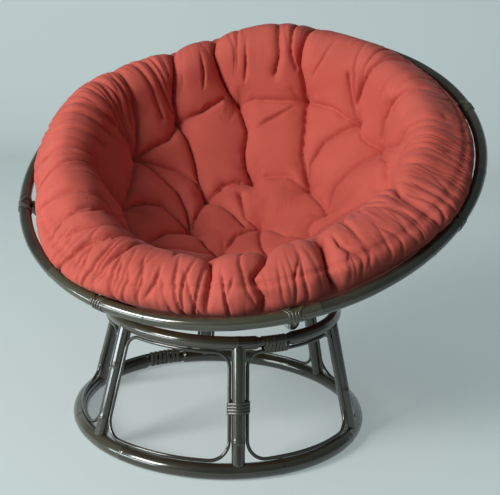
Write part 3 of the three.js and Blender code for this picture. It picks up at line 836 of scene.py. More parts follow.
def build_stand_bindings():
    for i, side in enumerate(("front", "back")):
        node = f"post_binding_{side}"
        binding = post_binding(f"{node}_cane", post_azimuth(i * POST_COUNT // 2), POST_BINDING_SEEDS + i)
        dress_binding(binding, "stand", node)
    ties = [
        ("top_ring_binding", TOP_RING, POST_LENGTH - HOOP_TOP_SLANT, SLOPE_ANGLE + math.pi,
         TOP_SPLICE_PITCH, TOP_SPLICE_STRIP, TOP_SPLICE_AZIMUTH),
        ("floor_ring_binding", FLOOR_RING, HOOP_FLOOR_SLANT, SLOPE_ANGLE,
         FLOOR_SPLICE_PITCH, FLOOR_SPLICE_STRIP, FLOOR_SPLICE_AZIMUTH),
    ]
    for i, (node, ring, distance, angle, pitch, width, azimuth) in enumerate(ties):
        outline = tie_outline(ring[2] / 2 - SPLICE_SEAT_DEPTH, distance, angle)
        place = along_ring(ring, azimuth)
        tie = wind(f"{node}_cane", outline, SPLICE_TURNS, pitch, width, place, STAND, TIE_SEEDS + i)
        dress_binding(tie, "stand", node)


build_rings()
build_posts()
build_ribs()
build_stand_bindings()


# Cushion. Its two round panels are laid out flat: a place is an azimuth in degrees and a share of the way
# from the centre to the seam, which runs round the outside of the rolled edge.

CUSHION_ROLL = 0.060
CUSHION_INSET = 0.013
CUSHION_CENTRE_THICKNESS = 0.100
CUSHION_UNDER = BOWL_RADIUS - RIB_POLE / 2 - CUSHION_GAP
ROLL_DISTANCE = CUSHION_UNDER - CUSHION_ROLL
ROLL_ANGLE = math.asin((RIM_RADIUS - RIM_POLE / 2 - CUSHION_INSET - CUSHION_ROLL) / ROLL_DISTANCE)
SEAM_TURN = math.radians(70)
PANEL_STEPS = 300
TOP_ROLL_STEPS = 120
UNDER_ROLL_STEPS = 80

INNER_TUFTS = [
    (0, 0), (164, 0.27), (116, 0.25), (58, 0.26), (15, 0.28), (-14, 0.24), (-60, 0.25), (-106, 0.26),
    (-148, 0.28),
]
OUTER_TUFTS = [
    (4, 0.59), (34, 0.58), (55, 0.59), (85, 0.61), (116, 0.60), (145, 0.61), (173, 0.60), (205, 0.57),
    (237, 0.60), (269, 0.61), (300, 0.60), (332, 0.59),
]

# Creases between tufts, creases out over the roll, and sharper folds of the roll. A row is a depth and a
# width in millimetres, then the places along the fold: an azimuth in degrees and a share in hundredths.
TUFT_CREASES = [
    (35, 76, 116, 25, 119, 32, 118, 38, 114, 48, 116, 60),
    (34, 76, 58, 26, 71, 33, 78, 39, 82, 50, 85, 61),
    (25, 62, 58, 26, 68, 36, 66, 46, 59, 54, 55, 59),
    (31, 69, 164, 27, 156, 36, 150, 43, 146, 52, 145, 61),
    (24, 53, 164, 27, 159, 36, 163, 44, 170, 53, 173, 60),
    (26, 56, -148, 28, 188, 31, 176, 38, 173, 48, 173, 60),
    (26, 56, -148, 28, 200, 34, 194, 41, 197, 48, 205, 57),
    (28, 69, 116, 25, 131, 26, 142, 27, 154, 26, 164, 27),
    (19, 62, 116, 25, 100, 26, 80, 27, 58, 26),
    (26, 62, 58, 26, 47, 25, 32, 26, 15, 28),
    (20, 53, 15, 28, 8, 24, -2, 22, -14, 24),
    (25, 62, 164, 27, 180, 26, 197, 27, 212, 28),
    (24, 53, 212, 28, 226, 26, 240, 27, 254, 26),
    (24, 62, 254, 26, 274, 25, 300, 25, 346, 24),
    (24, 53, 0, 0, 200, 6, 165, 14, 162, 20, 164, 27),
    (16, 46, 0, 0, 165, 7, 140, 14, 134, 19),
    (16, 46, 0, 0, -20, 7, -26, 15, -14, 24),
    (16, 46, 0, 0, -70, 10, -66, 18, -60, 25),
    (15, 46, 0, 0, -120, 12, -106, 26),
    (19, 53, 15, 28, 33, 36, 35, 45, 34, 58),
    (20, 53, -14, 24, -2, 36, 2, 48, 4, 59),
    (20, 53, -60, 25, -40, 40, -30, 52, 332, 59),
    (20, 53, -60, 25, -64, 42, -60, 60),
    (20, 53, -106, 26, -96, 42, -91, 61),
    (20, 53, -106, 26, -118, 42, -123, 60),
    (20, 53, -148, 28, -138, 42, -123, 60),
    (24, 62, 145, 61, 154, 57, 163, 58, 173, 60),
    (25, 69, 116, 60, 122, 64, 134, 61, 145, 61),
    (18, 69, 85, 61, 94, 60, 108, 61, 116, 60),
    (18, 62, 55, 59, 70, 61, 85, 61),
    (19, 53, 34, 58, 45, 56, 55, 59),
    (20, 62, 173, 60, 188, 57, 205, 57),
    (19, 62, 4, 59, 20, 60, 34, 58),
    (19, 62, 205, 57, 221, 60, 237, 60, 253, 62, 269, 61),
    (19, 62, 269, 61, 285, 62, 300, 60, 316, 61, 332, 59, 348, 60, 364, 59),
]
EDGE_CREASES = [
    (33, 71, 145, 61, 143, 70, 140, 79, 137, 88, 133, 100),
    (37, 71, 116, 60, 119, 65, 121, 73, 122, 84, 120, 92, 120, 100),
    (29, 61, 85, 61, 86, 68, 88, 76, 87, 88, 86, 100),
    (14, 26, 89, 74, 91, 80, 92, 90, 92, 100),
    (14, 36, 98, 72, 96, 80, 97, 88, 99, 98),
    (16, 32, 55, 59, 59, 65, 62, 72, 64, 80),
    (22, 55, 58, 66, 57, 74, 55, 82, 53, 90, 50, 100),
    (21, 46, 36, 62, 39, 69, 37, 77, 34, 84, 31, 93),
    (21, 71, 173, 60, 163, 70, 160, 79, 158, 88, 156, 97),
    (14, 32, 173, 62, 170, 73, 169, 84, 165, 95),
    (12, 28, 173, 62, 172, 77, 172, 90),
    (15, 36, 173, 62, 173, 74, 177, 84, 180, 95),
    (14, 42, 146, 66, 147, 80, 147, 94),
    (10, 32, 152, 66, 151, 80, 152, 92),
    (23, 71, 205, 57, 202, 72, 200, 80, 202, 90, 203, 97),
    (16, 36, 205, 57, 204, 68, 206, 76, 210, 86, 213, 94),
    (14, 26, 237, 60, 226, 76, 226, 88, 221, 100),
    (12, 26, 237, 62, 234, 78, 233, 90, 229, 100),
    (15, 26, 250, 84, 248, 90, 245, 96, 244, 104),
    (28, 55, 269, 61, 272, 75, 281, 87, 282, 97, 281, 108),
    (29, 55, 300, 60, 297, 80, 295, 92, 292, 98, 294, 105, 293, 112),
    (36, 52, 311, 86, 310, 95, 309, 102, 310, 112),
    (13, 50, 332, 59, 331, 70, 330, 80),
    (23, 60, 4, 59, 352, 70, 343, 82, 337, 91, 337, 99, 338, 108),
    (15, 42, 34, 58, 20, 68, 14, 80, 12, 94),
]
SHARP_FOLDS = [
    (26, 34, 202, 107, 201, 99, 202, 92, 202, 85, 200, 77, 202, 68),
    (15, 20, 208, 93, 207, 85, 205, 77, 203, 70),
    (23, 30, 213, 107, 212, 97, 212, 87, 210, 79, 205, 66),
    (20, 26, 220, 109, 221, 102, 222, 96, 224, 90, 227, 82, 226, 72),
    (17, 25, 231, 102, 233, 94, 235, 85, 231, 76, 226, 66),
    (17, 22, 241, 112, 243, 103, 245, 98, 247, 93, 250, 89, 250, 79),
    (13, 18, 254, 103, 256, 95, 257, 90, 257, 80),
    (11, 16, 238, 101, 240, 94, 243, 88, 245, 80),
    (12, 18, 192, 99, 193, 90, 191, 82, 188, 74),
    (12, 18, 183, 100, 184, 90, 182, 80, 179, 72),
    (10, 15, 314, 89, 314, 95, 315, 98, 318, 101),
    (11, 17, 0, 66, 355, 76, 350, 88, 351, 97, 353, 105),
    (10, 15, 355, 64, 347, 76, 342, 86, 341, 95),
    (10, 15, 7, 68, 3, 78, 0, 88, 0, 99),
    (9, 14, 12, 72, 9, 82, 8, 92, 9, 101),
    (9, 14, 328, 86, 331, 91, 333, 96, 333, 103),
    (14, 18, 109, 48, 102, 51, 94, 55, 86, 60),
    (11, 16, 130, 70, 128, 78, 127, 86),
    (9, 14, 112, 68, 110, 76, 109, 85),
    (11, 16, 163, 96, 162, 88, 164, 78, 168, 68),
    (10, 15, 152, 97, 151, 88, 151, 78),
]

MM = 0.001
COARSE_CELLS = 48
FINE_SCALE = 3
AT_SEAM = 1 - 1e-6  # the share from which a point lies on the seam
INNER_TUFT_DEPTH, INNER_TUFT_WIDTH = 47 * MM, 60 * MM
OUTER_TUFT_DEPTH, OUTER_TUFT_WIDTH = 58 * MM, 72 * MM
UNDER_TUFT_DEPTH, UNDER_TUFT_WIDTH = 15 * MM, 34 * MM
CREASE_FULL = 24 * MM
CREASE_HOLD = 6 * MM
CREASE_GRIP = 0.6
TUFT_HOLD = 12 * MM
PINCH_SHARE = 0.5
PINCH_WIDTH = 3.6 * MM

# Places round the cushion, each an azimuth and a width in degrees
FRONT = (-88, 48)
FRONT_LEFT = (213, 22)
FRONT_RIGHT = (-32, 26)
LEFT = (172, 40)
RIGHT = (-2, 42)
FOLDS_LEFT = (175, 42)
FOLDS_RIGHT = (-5, 42)
GATHERS_FRONT = (-85, 50)
GATHERS_LEFT = (185, 45)
GATHERS_RIGHT = (-10, 30)
GATHERS_GAP = (-42, 11)
SEAM_FRONT_RIGHT = (-28, 34)

# How the filling swells: most in the roll, less between the tufts
ROLL_SWELL = 22
PANEL_SWELL = 8
MOST_SIMULATED = 22 * MM
UNDER_BULGE = 7 * MM
BULGE_RAMP = 0.04
SEAM_RIDGE_WIDTH = 26 * MM
SEAM_GROOVE = 4.5 * MM
GATHER_REACH = 0.20
GATHERED_WIDTH = 80 * MM
SLACK_FOLDS = 46

CLOTH_FRAMES = 22
CLOTH_SETTINGS = {
    "quality": 6, "mass": 0.25, "air_damping": 3.0, "tension_stiffness": 20, "compression_stiffness": 12,
    "shear_stiffness": 6, "bending_stiffness": 0.08, "vertex_group_mass": "held", "pin_stiffness": 0.6,
    "vertex_group_shrink": "grown", "shrink_min": 0.0, "shrink_max": -0.14, "use_pressure": True,
    "uniform_pressure_force": 4.0,
}

# Millimetres at every 10 degrees, from azimuth 0: how far the roll stands out at the rim's height and over
# the rim, and how much lower it lies
ROLL_OUT = [
    10, 10, 9, 8, 7, 6, 6, 6, 6, 6, 6, 6, 6, 5, 5, 5, 5, 5,
    5, 6, 8, -6, 1, 8, 12, 12, 11, 10, 10, 10, 10, 10, 10, 14, 18, 15,
]
ROLL_OVER = [
    9, 5, 3, 3, 0, 0, 0, 0, 0, 0, 0, 0, 0, 0, 0, 0, 0, 0,
    0, 0, 0, 0, 2, 10, 20, 25, 17, 5, 1, 1, 1, 2, 6, 12, 16, 15,
]
ROLL_LOWER = [
    2, 7, 13, 19, 19, 18, 13, 13, 8, -1, -5, 3, 11, 16, 13, 4, -8, -17,
    -14, -5, 3, 5, 3, 0, 0, 0, 0, 0, 0, 0, 0, 0, 0, 0, 0, 0,
]


def folds_of(rows):
    """A table's folds, each as a depth and a width in metres and a path of (azimuth in degrees, share)."""
    folds = []
    for depth, width, *path in rows:
        folds.append((depth * MM, width * MM, [(a, s / 100) for a, s in zip(path[::2], path[1::2])]))
    return folds


def turned(azimuth, start, signed=False):
    """The turn in degrees from one azimuth to another, the short way round."""
    turn = (azimuth - start + 180) % 360 - 180
    return turn if signed else abs(turn)


def near(degrees, place):
    """1 at a place round the cushion, and less to both sides of it."""
    centre, width = place
    return bell(turned(degrees, centre), width)


def toward(azimuth, place):
    return near(np.degrees(azimuth), place)


def meridian(angle):
    """The direction from the tilt centre at an angle from the bowl's lowest point, as radius and height."""
    return np.stack([np.sin(angle), -np.cos(angle)], -1)


def panel_profiles():
    """The top panel's and the underside's profiles, each from its centre to the seam, as dense points."""
    angle = np.linspace(0, ROLL_ANGLE, PANEL_STEPS)
    edge = 2 * CUSHION_ROLL
    thickness = CUSHION_CENTRE_THICKNESS + (edge - CUSHION_CENTRE_THICKNESS) * (angle / ROLL_ANGLE) ** 2
    centre = ROLL_DISTANCE * meridian(ROLL_ANGLE)

    def roll(turns):
        out, along = meridian(ROLL_ANGLE), meridian(ROLL_ANGLE + math.pi / 2)
        return centre + CUSHION_ROLL * (np.cos(turns)[:, None] * out + np.sin(turns)[:, None] * along)

    top = (CUSHION_UNDER - thickness)[:, None] * meridian(angle)
    top = np.concatenate([top, roll(np.linspace(math.pi, SEAM_TURN, TOP_ROLL_STEPS)[1:])])
    under_roll = roll(np.linspace(0, SEAM_TURN, UNDER_ROLL_STEPS)[1:])
    return top, np.concatenate([CUSHION_UNDER * meridian(angle), under_roll])


def flat(azimuth, share, radius):
    """Places on the flat panel in metres."""
    return np.stack([share * radius * np.cos(azimuth), share * radius * np.sin(azimuth)], -1)


def pillow_valley(distance, depth, width):
    """The section of a crease between two full pillows: two arcs that meet in a cusp."""
    x = np.clip(1 - distance / width, 0, 1)
    return depth * (1 - np.sqrt(1 - x * x))


# How deep a crease is along its run, as a share of its depth

def between_tufts(along):
    return 0.68 + 0.32 * (2 * along - 1) ** 2


def over_the_roll(along):
    return (1 - 0.4 * along ** 2) * ease((1.06 - along) / 0.16)


def fading(along):
    return np.sin(math.pi * np.clip(along, 0.02, 0.98)) ** 0.7


def from_the_seam(along):
    return ease((1 - along) / 0.7)


def around(azimuth, values):
    """A smooth curve through values at even steps all round, which begin at azimuth 0."""
    values = np.array(values, float)
    at = np.degrees(azimuth) % 360 / (360 / len(values))
    first = at.astype(int)
    t = at - first
    a, b, c, d = [values[(first + k) % len(values)] for k in (-1, 0, 1, 2)]
    return b + t / 2 * (c - a + t * (2 * a - 5 * b + 4 * c - d + t * (3 * (b - c) + d - a)))


def outward(azimuth, turn):
    """How far the filling spreads the roll toward the rim and over it. turn is the place round the roll."""
    at_rim = bell(turn - math.radians(28), math.radians(42))
    over_rim = bell(turn - math.radians(50), math.radians(26))
    return (around(azimuth, ROLL_OUT) * at_rim + around(azimuth, ROLL_OVER) * over_rim) * MM


class Panel:
    """One of the cushion's two round panels: a lattice laid flat, and the depths pressed into it."""

    def __init__(self, profile, cells):
        i, j = np.meshgrid(np.arange(-cells, cells + 1.0), np.arange(-cells, cells + 1.0), indexing="ij")
        ring = np.maximum(np.abs(i), np.abs(j))
        wide = np.abs(i) >= np.abs(j)
        with np.errstate(divide="ignore", invalid="ignore"):
            azimuth = np.where(wide, j / i * math.pi / 4, math.pi / 2 - i / j * math.pi / 4)
        azimuth[cells, cells] = 0
        self.azimuth = np.where(wide & (i < 0) | ~wide & (j < 0), azimuth + math.pi, azimuth).ravel()
        self.share = (ring / cells).ravel()
        side = 2 * cells + 1
        corner = (np.arange(side - 1)[:, None] * side + np.arange(side - 1)).ravel()
        self.quads = np.stack([corner, corner + side, corner + side + 1, corner + 1], -1)
        self.profile = profile
        self.radius = arc_lengths(profile)[-1]
        self.places = flat(self.azimuth, self.share, self.radius)
        self.cubes, self.pinch, self.held = np.zeros((3, len(self.places)))

    def press(self, depth, width, path, run):
        """Presses a crease along a path of (azimuth in degrees, share). The depths add as cubes."""
        azimuth, share = np.array(path, float).T
        points = flat(np.radians(azimuth), share, self.radius)
        low, high = points.min(0) - width, points.max(0) + width
        index = np.flatnonzero(((self.places > low) & (self.places < high)).all(1))
        places = self.places[index]
        near, along = np.full(len(index), np.inf), np.zeros(len(index))
        steps = np.diff(points, axis=0)
        lengths = np.linalg.norm(steps, axis=1)
        runs = np.concatenate([[0], np.cumsum(lengths)])
        for k, step in enumerate(steps):
            t = np.clip((places - points[k]) @ step / lengths[k] ** 2, 0, 1)
            away = np.linalg.norm(places - points[k] - t[:, None] * step, axis=1)
            closer = away < near
            near = np.where(closer, away, near)
            along = np.where(closer, (runs[k] + t * lengths[k]) / runs[-1], along)
        part = run(along)
        self.cubes[index] += pillow_valley(near, depth * part, width) ** 3
        pinch = PINCH_SHARE * depth * part * np.exp(-near / PINCH_WIDTH)
        self.pinch[index] = np.maximum(self.pinch[index], pinch)
        hold = part * min(depth / CREASE_FULL, 1) * bell(near, CREASE_HOLD)
        self.held[index] = np.maximum(self.held[index], CREASE_GRIP * hold)

    def sew(self, azimuth, share, depth, width):
        """Pulls a tuft in."""
        away = np.linalg.norm(self.places - flat(math.radians(azimuth), share, self.radius), axis=1)
        self.cubes += pillow_valley(away, depth, width) ** 3
        self.held = np.maximum(self.held, bell(away, TUFT_HOLD))

    def depth(self):
        return np.cbrt(self.cubes) + self.pinch

    def from_seam(self):
        return (1 - self.share) * self.radius

    def surface(self, depth, lowered, side):
        """The panel's points in the bowl's frame. side is 1 for the top and -1 for the underside."""
        lengths = arc_lengths(self.profile)
        way = unit(np.gradient(self.profile, axis=0))
        at = self.share * lengths[-1]
        radius, height, along_r, along_z = [np.interp(at, lengths, c) for c in (*self.profile.T, *way.T)]
        down = -meridian(ROLL_ANGLE + math.pi / 2)
        radius = radius + side * along_z * depth + down[0] * lowered
        height = height - side * along_r * depth + down[1] * lowered
        turn = SEAM_TURN + side * (1 - self.share) * self.radius / CUSHION_ROLL
        radius = radius + outward(self.azimuth, turn)
        return np.stack([radius * np.cos(self.azimuth), radius * np.sin(self.azimuth), height], -1)


def loose_folds(rng):
    """Soft folds that fan out from the outer tufts over the roll, denser at the chair's sides."""
    folds = []
    for azimuth, share in OUTER_TUFTS:
        beside = max(near(azimuth, FOLDS_LEFT), near(azimuth, FOLDS_RIGHT))
        for _ in range(round(2 + 7 * beside)):
            fan = rng.uniform(-15, 15)
            start, end = share + rng.uniform(0.05, 0.14), rng.uniform(0.86, 1.0)
            middle = (azimuth + 0.75 * fan + rng.uniform(-2.5, 2.5), (start + end) / 2)
            path = [(azimuth + 0.35 * fan, start), middle, (azimuth + fan, end)]
            folds.append((rng.uniform(4, 7 + 6 * beside) * MM, rng.uniform(12, 22) * MM, path))
    return folds


def pucker_folds(rng, tufts, radius):
    """Short pleats that run out of each tuft."""
    folds = []
    for azimuth, share in tufts:
        centre = flat(math.radians(azimuth), share, radius)
        count = rng.integers(5, 8)
        for k in range(count):
            turn = 2 * math.pi * (k + rng.uniform(-0.3, 0.3)) / count
            reach = rng.uniform(28, 62) * MM
            steps = ((3 * MM, 0), (reach / 2, rng.uniform(-0.15, 0.15)), (reach, rng.uniform(-0.3, 0.3)))
            ends = [centre + d * np.array([math.cos(turn + b), math.sin(turn + b)]) for d, b in steps]
            path = [(math.degrees(math.atan2(y, x)), math.hypot(x, y) / radius) for x, y in ends]
            path = [(path[0][0] + turned(a, path[0][0], True), t) for a, t in path]
            folds.append((rng.uniform(3.5, 7) * MM, rng.uniform(8, 13) * MM, path))
    return folds


def seam_gathers(rng):
    """Pleats that the gathered seam draws into both panels. Each has its own length, slant and depth.

    Returns the top panel's and the underside's, which meet at the seam.
    """
    top, under = [], []
    at = 0.0
    while at < 360:
        much = max(near(at, GATHERS_FRONT), 0.6 * near(at, GATHERS_LEFT), 1.1 * near(at, GATHERS_RIGHT))
        much *= 1 - 0.85 * near(at, GATHERS_GAP)
        depth = rng.uniform(2.0, 7.0) * (0.5 + 1.0 * much) * MM
        width = rng.uniform(6, 12) * MM
        for folds in (top, under):
            length = GATHER_REACH * rng.uniform(0.25, 1.0) ** 1.3 * (0.45 + 0.55 * much)
            slant = rng.uniform(-3.0, 3.0)
            bend = rng.uniform(-0.8, 0.8)
            path = [(at, 1.0), (at + 0.5 * slant + bend, 1 - 0.5 * length), (at + slant, 1 - length)]
            folds.append((depth, width, path))
        at += rng.uniform(1.0, 3.4)
    return top, under


def roll_lowered(azimuth, share):
    """How much lower the rolled edge lies, where the cushion has slipped into the bowl."""
    return around(azimuth, ROLL_LOWER) * MM * ease((share - 0.66) / 0.3)


def plumpness(azimuth, share):
    """How far the filling swells past the plain profile. At the front the roll is pressed flat."""
    front = toward(azimuth, FRONT)
    side = toward(azimuth, LEFT) + toward(azimuth, RIGHT)
    fullness = 1 - 1.05 * front + 1.1 * toward(azimuth, FRONT_LEFT) - 0.5 * toward(azimuth, FRONT_RIGHT)
    roll = bell(share - 0.80 - 0.08 * side, 0.13 - 0.02 * side) * fullness
    swell = ROLL_SWELL * roll + PANEL_SWELL * (1 - front * ease((share - 0.55) / 0.2))
    return swell * MM * ease((1 - share) / 0.12)


def underside_bulge(panel):
    """The underside hangs a little between the ribs, and rests on them and on the lower ring."""
    angle = np.minimum(panel.share * panel.radius / CUSHION_UNDER, ROLL_ANGLE)
    step = 2 * math.pi / RIB_COUNT
    off = np.abs((panel.azimuth - FIRST_RIB + step / 2) % step - step / 2) * CUSHION_UNDER * np.sin(angle)
    ring = np.abs(angle - LOWER_RING_ANGLE) * CUSHION_UNDER
    rib_room = np.where(angle < LOWER_RING_ANGLE, 1.0, ease((off - RIB_POLE / 2) / BULGE_RAMP))
    ring_room = ease((ring - RIB_POLE / 2) / BULGE_RAMP)
    return UNDER_BULGE * rib_room * ring_room * ease((ROLL_ANGLE - angle) / 0.15)


def seam_ridge(panel):
    """How far the seam stands out. The panels meet there at an angle, most at the front right."""
    height = (4 + 11 * toward(panel.azimuth, SEAM_FRONT_RIGHT)) * MM
    return height * bell(panel.from_seam(), SEAM_RIDGE_WIDTH)


def seam_groove(panel):
    return SEAM_GROOVE * bell(panel.from_seam(), SEAM_GROOVE)


def top_panel(profile, cells, small_folds):
    panel = Panel(profile, cells)
    for rows, run in ((TUFT_CREASES, between_tufts), (EDGE_CREASES, over_the_roll), (SHARP_FOLDS, fading)):
        for fold in folds_of(rows):
            panel.press(*fold, run)
    for tuft in INNER_TUFTS:
        panel.sew(*tuft, INNER_TUFT_DEPTH, INNER_TUFT_WIDTH)
    for tuft in OUTER_TUFTS:
        panel.sew(*tuft, OUTER_TUFT_DEPTH, OUTER_TUFT_WIDTH)
    for fold in small_folds:
        panel.press(*fold)
    return panel


def under_tufts(profile, top_profile):
    """The tufts' places on the underside, straight through the cushion."""
    lengths = arc_lengths(top_profile)
    places = []
    for azimuth, share in INNER_TUFTS + OUTER_TUFTS:
        radius, height = [np.interp(share * lengths[-1], lengths, c) for c in top_profile.T]
        places.append((azimuth, math.atan2(radius, -height) * CUSHION_UNDER / arc_lengths(profile)[-1]))
    return places


def slack_folds(rng):
    """Long shallow folds of the underside's cloth, which lies loose between the ribs."""
    folds = []
    for _ in range(SLACK_FOLDS):
        azimuth, start = rng.uniform(0, 360), rng.uniform(0.3, 0.8)
        end = start + rng.uniform(0.1, 0.22)
        lean, bend = rng.uniform(-14, 14), rng.uniform(-3, 3)
        path = [(azimuth, start), (azimuth + lean / 2 + bend, (start + end) / 2), (azimuth + lean, end)]
        folds.append((rng.uniform(3, 7) * MM, rng.uniform(12, 26) * MM, path))
    return folds


def under_panel(profile, cells, top_profile, small_folds):
    """The underside, with a dimple under each tuft. Folds that cross the seam go on here."""
    panel = Panel(profile, cells)
    for tuft in under_tufts(profile, top_profile):
        panel.sew(*tuft, UNDER_TUFT_DEPTH, UNDER_TUFT_WIDTH)
    scale = arc_lengths(top_profile)[-1] / panel.radius
    for rows, run in ((EDGE_CREASES, over_the_roll), (SHARP_FOLDS, fading)):
        for depth, width, path in folds_of(rows):
            if path[0][1] > 1 or path[-1][1] > 1:
                panel.press(depth, width, [(a, 1 - (t - 1) * scale) for a, t in path], run)
    for fold in small_folds:
        panel.press(*fold)
    return panel


def sewn_mesh(name, top, low, top_points, low_points, values):
    """Joins the panels at the seam into one closed mesh. values are pairs for the points of both panels."""
    n = len(top.share)
    inner = low.share < AT_SEAM
    index = np.arange(n)
    index[inner] = n + np.arange(inner.sum())
    points = np.concatenate([top_points, low_points[inner]])
    faces = np.concatenate([top.quads, index[top.quads][:, ::-1]]).tolist()
    both = {key: np.concatenate([a, b[inner]]) for key, (a, b) in values.items()}
    return new_mesh(name, points, faces, BOWL, both)


def cloth_places(top, low):
    """Where the cloth's weave and its gathers lie, for each point of both panels."""
    values = {"weave": [], "pleat": [], "gathered": []}
    for panel, side in ((top, -1), (low, 1)):
        from_seam = panel.from_seam()
        turn = 0.5 * np.stack([np.cos(panel.azimuth), np.sin(panel.azimuth)], -1)
        values["weave"].append(np.concatenate([panel.places, np.zeros((len(panel.places), 1))], 1))
        values["pleat"].append(np.concatenate([turn, 0.22 * side * from_seam[:, None]], 1))
        values["gathered"].append(0.03 + 0.97 * bell(from_seam, GATHERED_WIDTH))
    return values


def read_points(mesh):
    points = np.empty(3 * len(mesh.vertices), np.float32)
    mesh.vertices.foreach_get("co", points)
    return points.reshape(-1, 3)


def inflated(piece, held, growth):
    """How points move in a cloth simulation: air fills the cover between its pinned tufts and creases."""
    pins = piece.vertex_groups.new(name="held")
    grown = piece.vertex_groups.new(name="grown")
    for i, (pin, grow) in enumerate(zip(held.tolist(), growth.tolist())):
        pins.add([i], pin, "REPLACE")
        grown.add([i], grow, "REPLACE")
    cloth = piece.modifiers.new("cloth", "CLOTH")
    for key, value in CLOTH_SETTINGS.items():
        setattr(cloth.settings, key, value)
    cloth.settings.effector_weights.gravity = 0
    cloth.collision_settings.use_collision = False
    cloth.point_cache.frame_start = 1
    cloth.point_cache.frame_end = CLOTH_FRAMES
    start = read_points(piece.data)
    for number in range(1, CLOTH_FRAMES + 1):
        scene.frame_set(number)
    shaped = piece.evaluated_get(bpy.context.evaluated_depsgraph_get())
    moved = read_points(shaped.to_mesh()) - start
    shaped.to_mesh_clear()
    scene.frame_set(1)
    return moved


def finer(moved, cells, scale):
    """Spreads the movement of a panel's lattice over a finer lattice."""
    side = 2 * cells + 1
    grid = moved.reshape(side, side, 3)
    places = np.arange(scale * (side - 1) + 1) / scale
    for axis in (0, 1):
        low = np.minimum(places.astype(int), side - 2)
        t = (places - low).reshape((-1, 1, 1) if axis == 0 else (1, -1, 1))
        grid = np.take(grid, low, axis) * (1 - t) + np.take(grid, low + 1, axis) * t
    return grid.reshape(-1, 3)


def simulated_fill(top_profile, under_profile):
    """How air pressure moves the points of both panels, from a cloth simulation on a coarse cushion."""
    top = top_panel(top_profile, COARSE_CELLS, [])
    low = under_panel(under_profile, COARSE_CELLS, top_profile, [])
    held = np.maximum(top.held, ease((top.share - 0.93) / 0.07))
    growth = 1 - ease((top.share - 0.85) / 0.15)
    rest = np.zeros((low.share < AT_SEAM).sum())
    top_depth = np.cbrt(top.cubes) - plumpness(top.azimuth, top.share) - seam_ridge(top)
    top_points = top.surface(top_depth, roll_lowered(top.azimuth, top.share), 1)
    low_points = low.surface(np.cbrt(low.cubes) - seam_ridge(low), 0, -1)
    coarse = sewn_mesh("coarse_cushion", top, low, top_points, low_points, {})
    moved = inflated(coarse, np.concatenate([held, rest + 1]), np.concatenate([growth, rest]))
    mesh = coarse.data
    bpy.data.objects.remove(coarse)
    bpy.data.meshes.remove(mesh)
    moved = moved[:len(top.share)] @ np.array(BOWL.to_3x3())
    length = np.linalg.norm(moved, axis=1, keepdims=True)
    return moved * MOST_SIMULATED * np.tanh(length / MOST_SIMULATED) / np.maximum(length, 1e-9)


def build_cushion():
    rng = np.random.default_rng(5)
    top_profile, under_profile = panel_profiles()
    radius = arc_lengths(top_profile)[-1]
    tufts = INNER_TUFTS + OUTER_TUFTS
    small = [(*fold, fading) for fold in loose_folds(rng) + pucker_folds(rng, tufts, radius)]
    top_gathers, under_gathers = seam_gathers(rng)
    small += [(*fold, from_the_seam) for fold in top_gathers]
    under_small = [(*fold, from_the_seam) for fold in under_gathers]
    under_radius = arc_lengths(under_profile)[-1]
    under_puckers = pucker_folds(rng, under_tufts(under_profile, top_profile), under_radius)
    under_small += [(0.8 * depth, 1.5 * width, path, fading) for depth, width, path in under_puckers]
    under_small += [(*fold, fading) for fold in slack_folds(rng)]
    cells = COARSE_CELLS * FINE_SCALE
    top = top_panel(top_profile, cells, small)
    low = under_panel(under_profile, cells, top_profile, under_small)
    top_depth = top.depth() + seam_groove(top) - seam_ridge(top) - plumpness(top.azimuth, top.share)
    top_points = top.surface(top_depth, roll_lowered(top.azimuth, top.share), 1)
    low_depth = low.depth()
    low_depth -= underside_bulge(low) * (1 - np.clip(low_depth / (6 * MM), 0, 1))
    low_depth += seam_groove(low) - seam_ridge(low)
    low_points = low.surface(low_depth, roll_lowered(low.azimuth, 0.66 + 0.34 * low.share ** 6), -1)
    moved = simulated_fill(top_profile, under_profile)
    top_points = top_points + finer(moved, COARSE_CELLS, FINE_SCALE)
    cushion = sewn_mesh("cushion_cover", top, low, top_points, low_points, cloth_places(top, low))
    dress(cushion, "cushion", "cushion_cotton", cotton, "cushion")


build_cushion()


# Floor, backdrop and lights

FLOOR_GLOW = 0.30
FLOOR_SEEN, FLOOR_LIT = (0.50, 0.56, 0.56, 1), (0.22, 0.25, 0.25, 1)
FLOOR_GLOW_COLOUR = (0.80, 0.93, 0.93, 1)
FLOOR_HALF = 4.5
BACKDROP_BEND = 1.2
BACKDROP_HEIGHT = 3.5
BEND_STEPS = 16
WORLD_COLOUR = (0.74, 0.96, 1.0, 1)
WORLD_STRENGTH = 0.18

# Lamps: name, place, what they aim at, size, power and colour
LAMPS = [
    ("window_light", (-2.6, -4.3, 2.75), (0, 0, 0.5), (2.2, 1.9), 250, (1.0, 0.99, 0.96)),
    ("low_window_light", (-2.9, -3.5, 0.34), (0, -0.3, 0.34), (3.2, 0.64), 74, (0.80, 0.95, 1.0)),
]


def floor_material():
    """Pale where it is seen, also in reflections and through glass. It lights the object less."""
    n = Nodes("floor_paper")
    rays = n.add("ShaderNodeLightPath").outputs
    seen = n.math("MAXIMUM", rays["Is Camera Ray"], rays["Is Glossy Ray"])
    seen = n.math("MAXIMUM", seen, rays["Is Transmission Ray"])
    glow = n.math("MULTIPLY", seen, FLOOR_GLOW)
    colour = n.mix(seen, FLOOR_LIT, FLOOR_SEEN)
    return n.finish(
        Base_Color=colour, Roughness=0.9, Specular_IOR_Level=0.1,
        Emission_Color=FLOOR_GLOW_COLOUR, Emission_Strength=glow,
    )


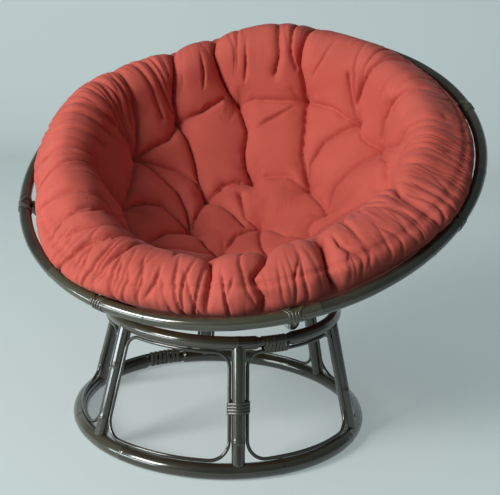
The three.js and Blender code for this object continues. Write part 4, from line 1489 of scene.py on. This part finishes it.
def backdrop():
    """A floor that bends up into a backdrop behind the object."""
    floor_mesh = bpy.data.meshes.new("floor")
    profile = [(-FLOOR_HALF, 0.0)]
    for i in range(BEND_STEPS + 1):
        a = math.pi / 2 * i / BEND_STEPS
        along = FLOOR_HALF - BACKDROP_BEND + BACKDROP_BEND * math.sin(a)
        profile.append((along, BACKDROP_BEND - BACKDROP_BEND * math.cos(a)))
    profile.append((FLOOR_HALF, BACKDROP_HEIGHT))
    points = [(x, y, z) for y, z in profile for x in (-2 * FLOOR_HALF, 2 * FLOOR_HALF)]
    faces = [(2 * i, 2 * i + 1, 2 * i + 3, 2 * i + 2) for i in range(len(profile) - 1)]
    floor_mesh.from_pydata(points, [], faces)
    floor_mesh.polygons.foreach_set("use_smooth", np.ones(len(floor_mesh.polygons), bool))
    floor = bpy.data.objects.new("floor", floor_mesh)
    floor.rotation_euler.z = math.radians(CAMERA_YAW)
    scene.collection.objects.link(floor)
    floor_mesh.materials.append(floor_material())


def lights():
    for name, at, aim, size, power, colour in LAMPS:
        data = bpy.data.lights.new(name, "AREA")
        data.shape, data.size, data.size_y = "RECTANGLE", *size
        data.energy, data.color = power, colour
        lamp = bpy.data.objects.new(name, data)
        lamp.location = at
        lamp.rotation_euler = (Vector(aim) - Vector(at)).to_track_quat("-Z", "Y").to_euler()
        scene.collection.objects.link(lamp)
    world = bpy.data.worlds.new("room")
    scene.world = world
    world.use_nodes = True
    background = world.node_tree.nodes["Background"]
    background.inputs["Color"].default_value = WORLD_COLOUR
    background.inputs["Strength"].default_value = WORLD_STRENGTH


backdrop()
lights()


def photo_camera():
    data = bpy.data.cameras.new("camera")
    data.sensor_fit = "HORIZONTAL"
    data.sensor_width = SENSOR
    data.lens = FOCAL_PIXELS / PHOTO_WIDTH * SENSOR
    camera = bpy.data.objects.new("camera", data)
    turn = Matrix.Rotation(math.radians(CAMERA_YAW), 4, "Z")
    turn @= Matrix.Rotation(math.radians(90 + CAMERA_PITCH), 4, "X")
    turn @= Matrix.Rotation(math.radians(CAMERA_ROLL), 4, "Z")
    camera.matrix_world = Matrix.Translation(CAMERA_AT) @ turn
    scene.collection.objects.link(camera)
    scene.camera = camera


photo_camera()
scene.view_settings.view_transform = "Standard"
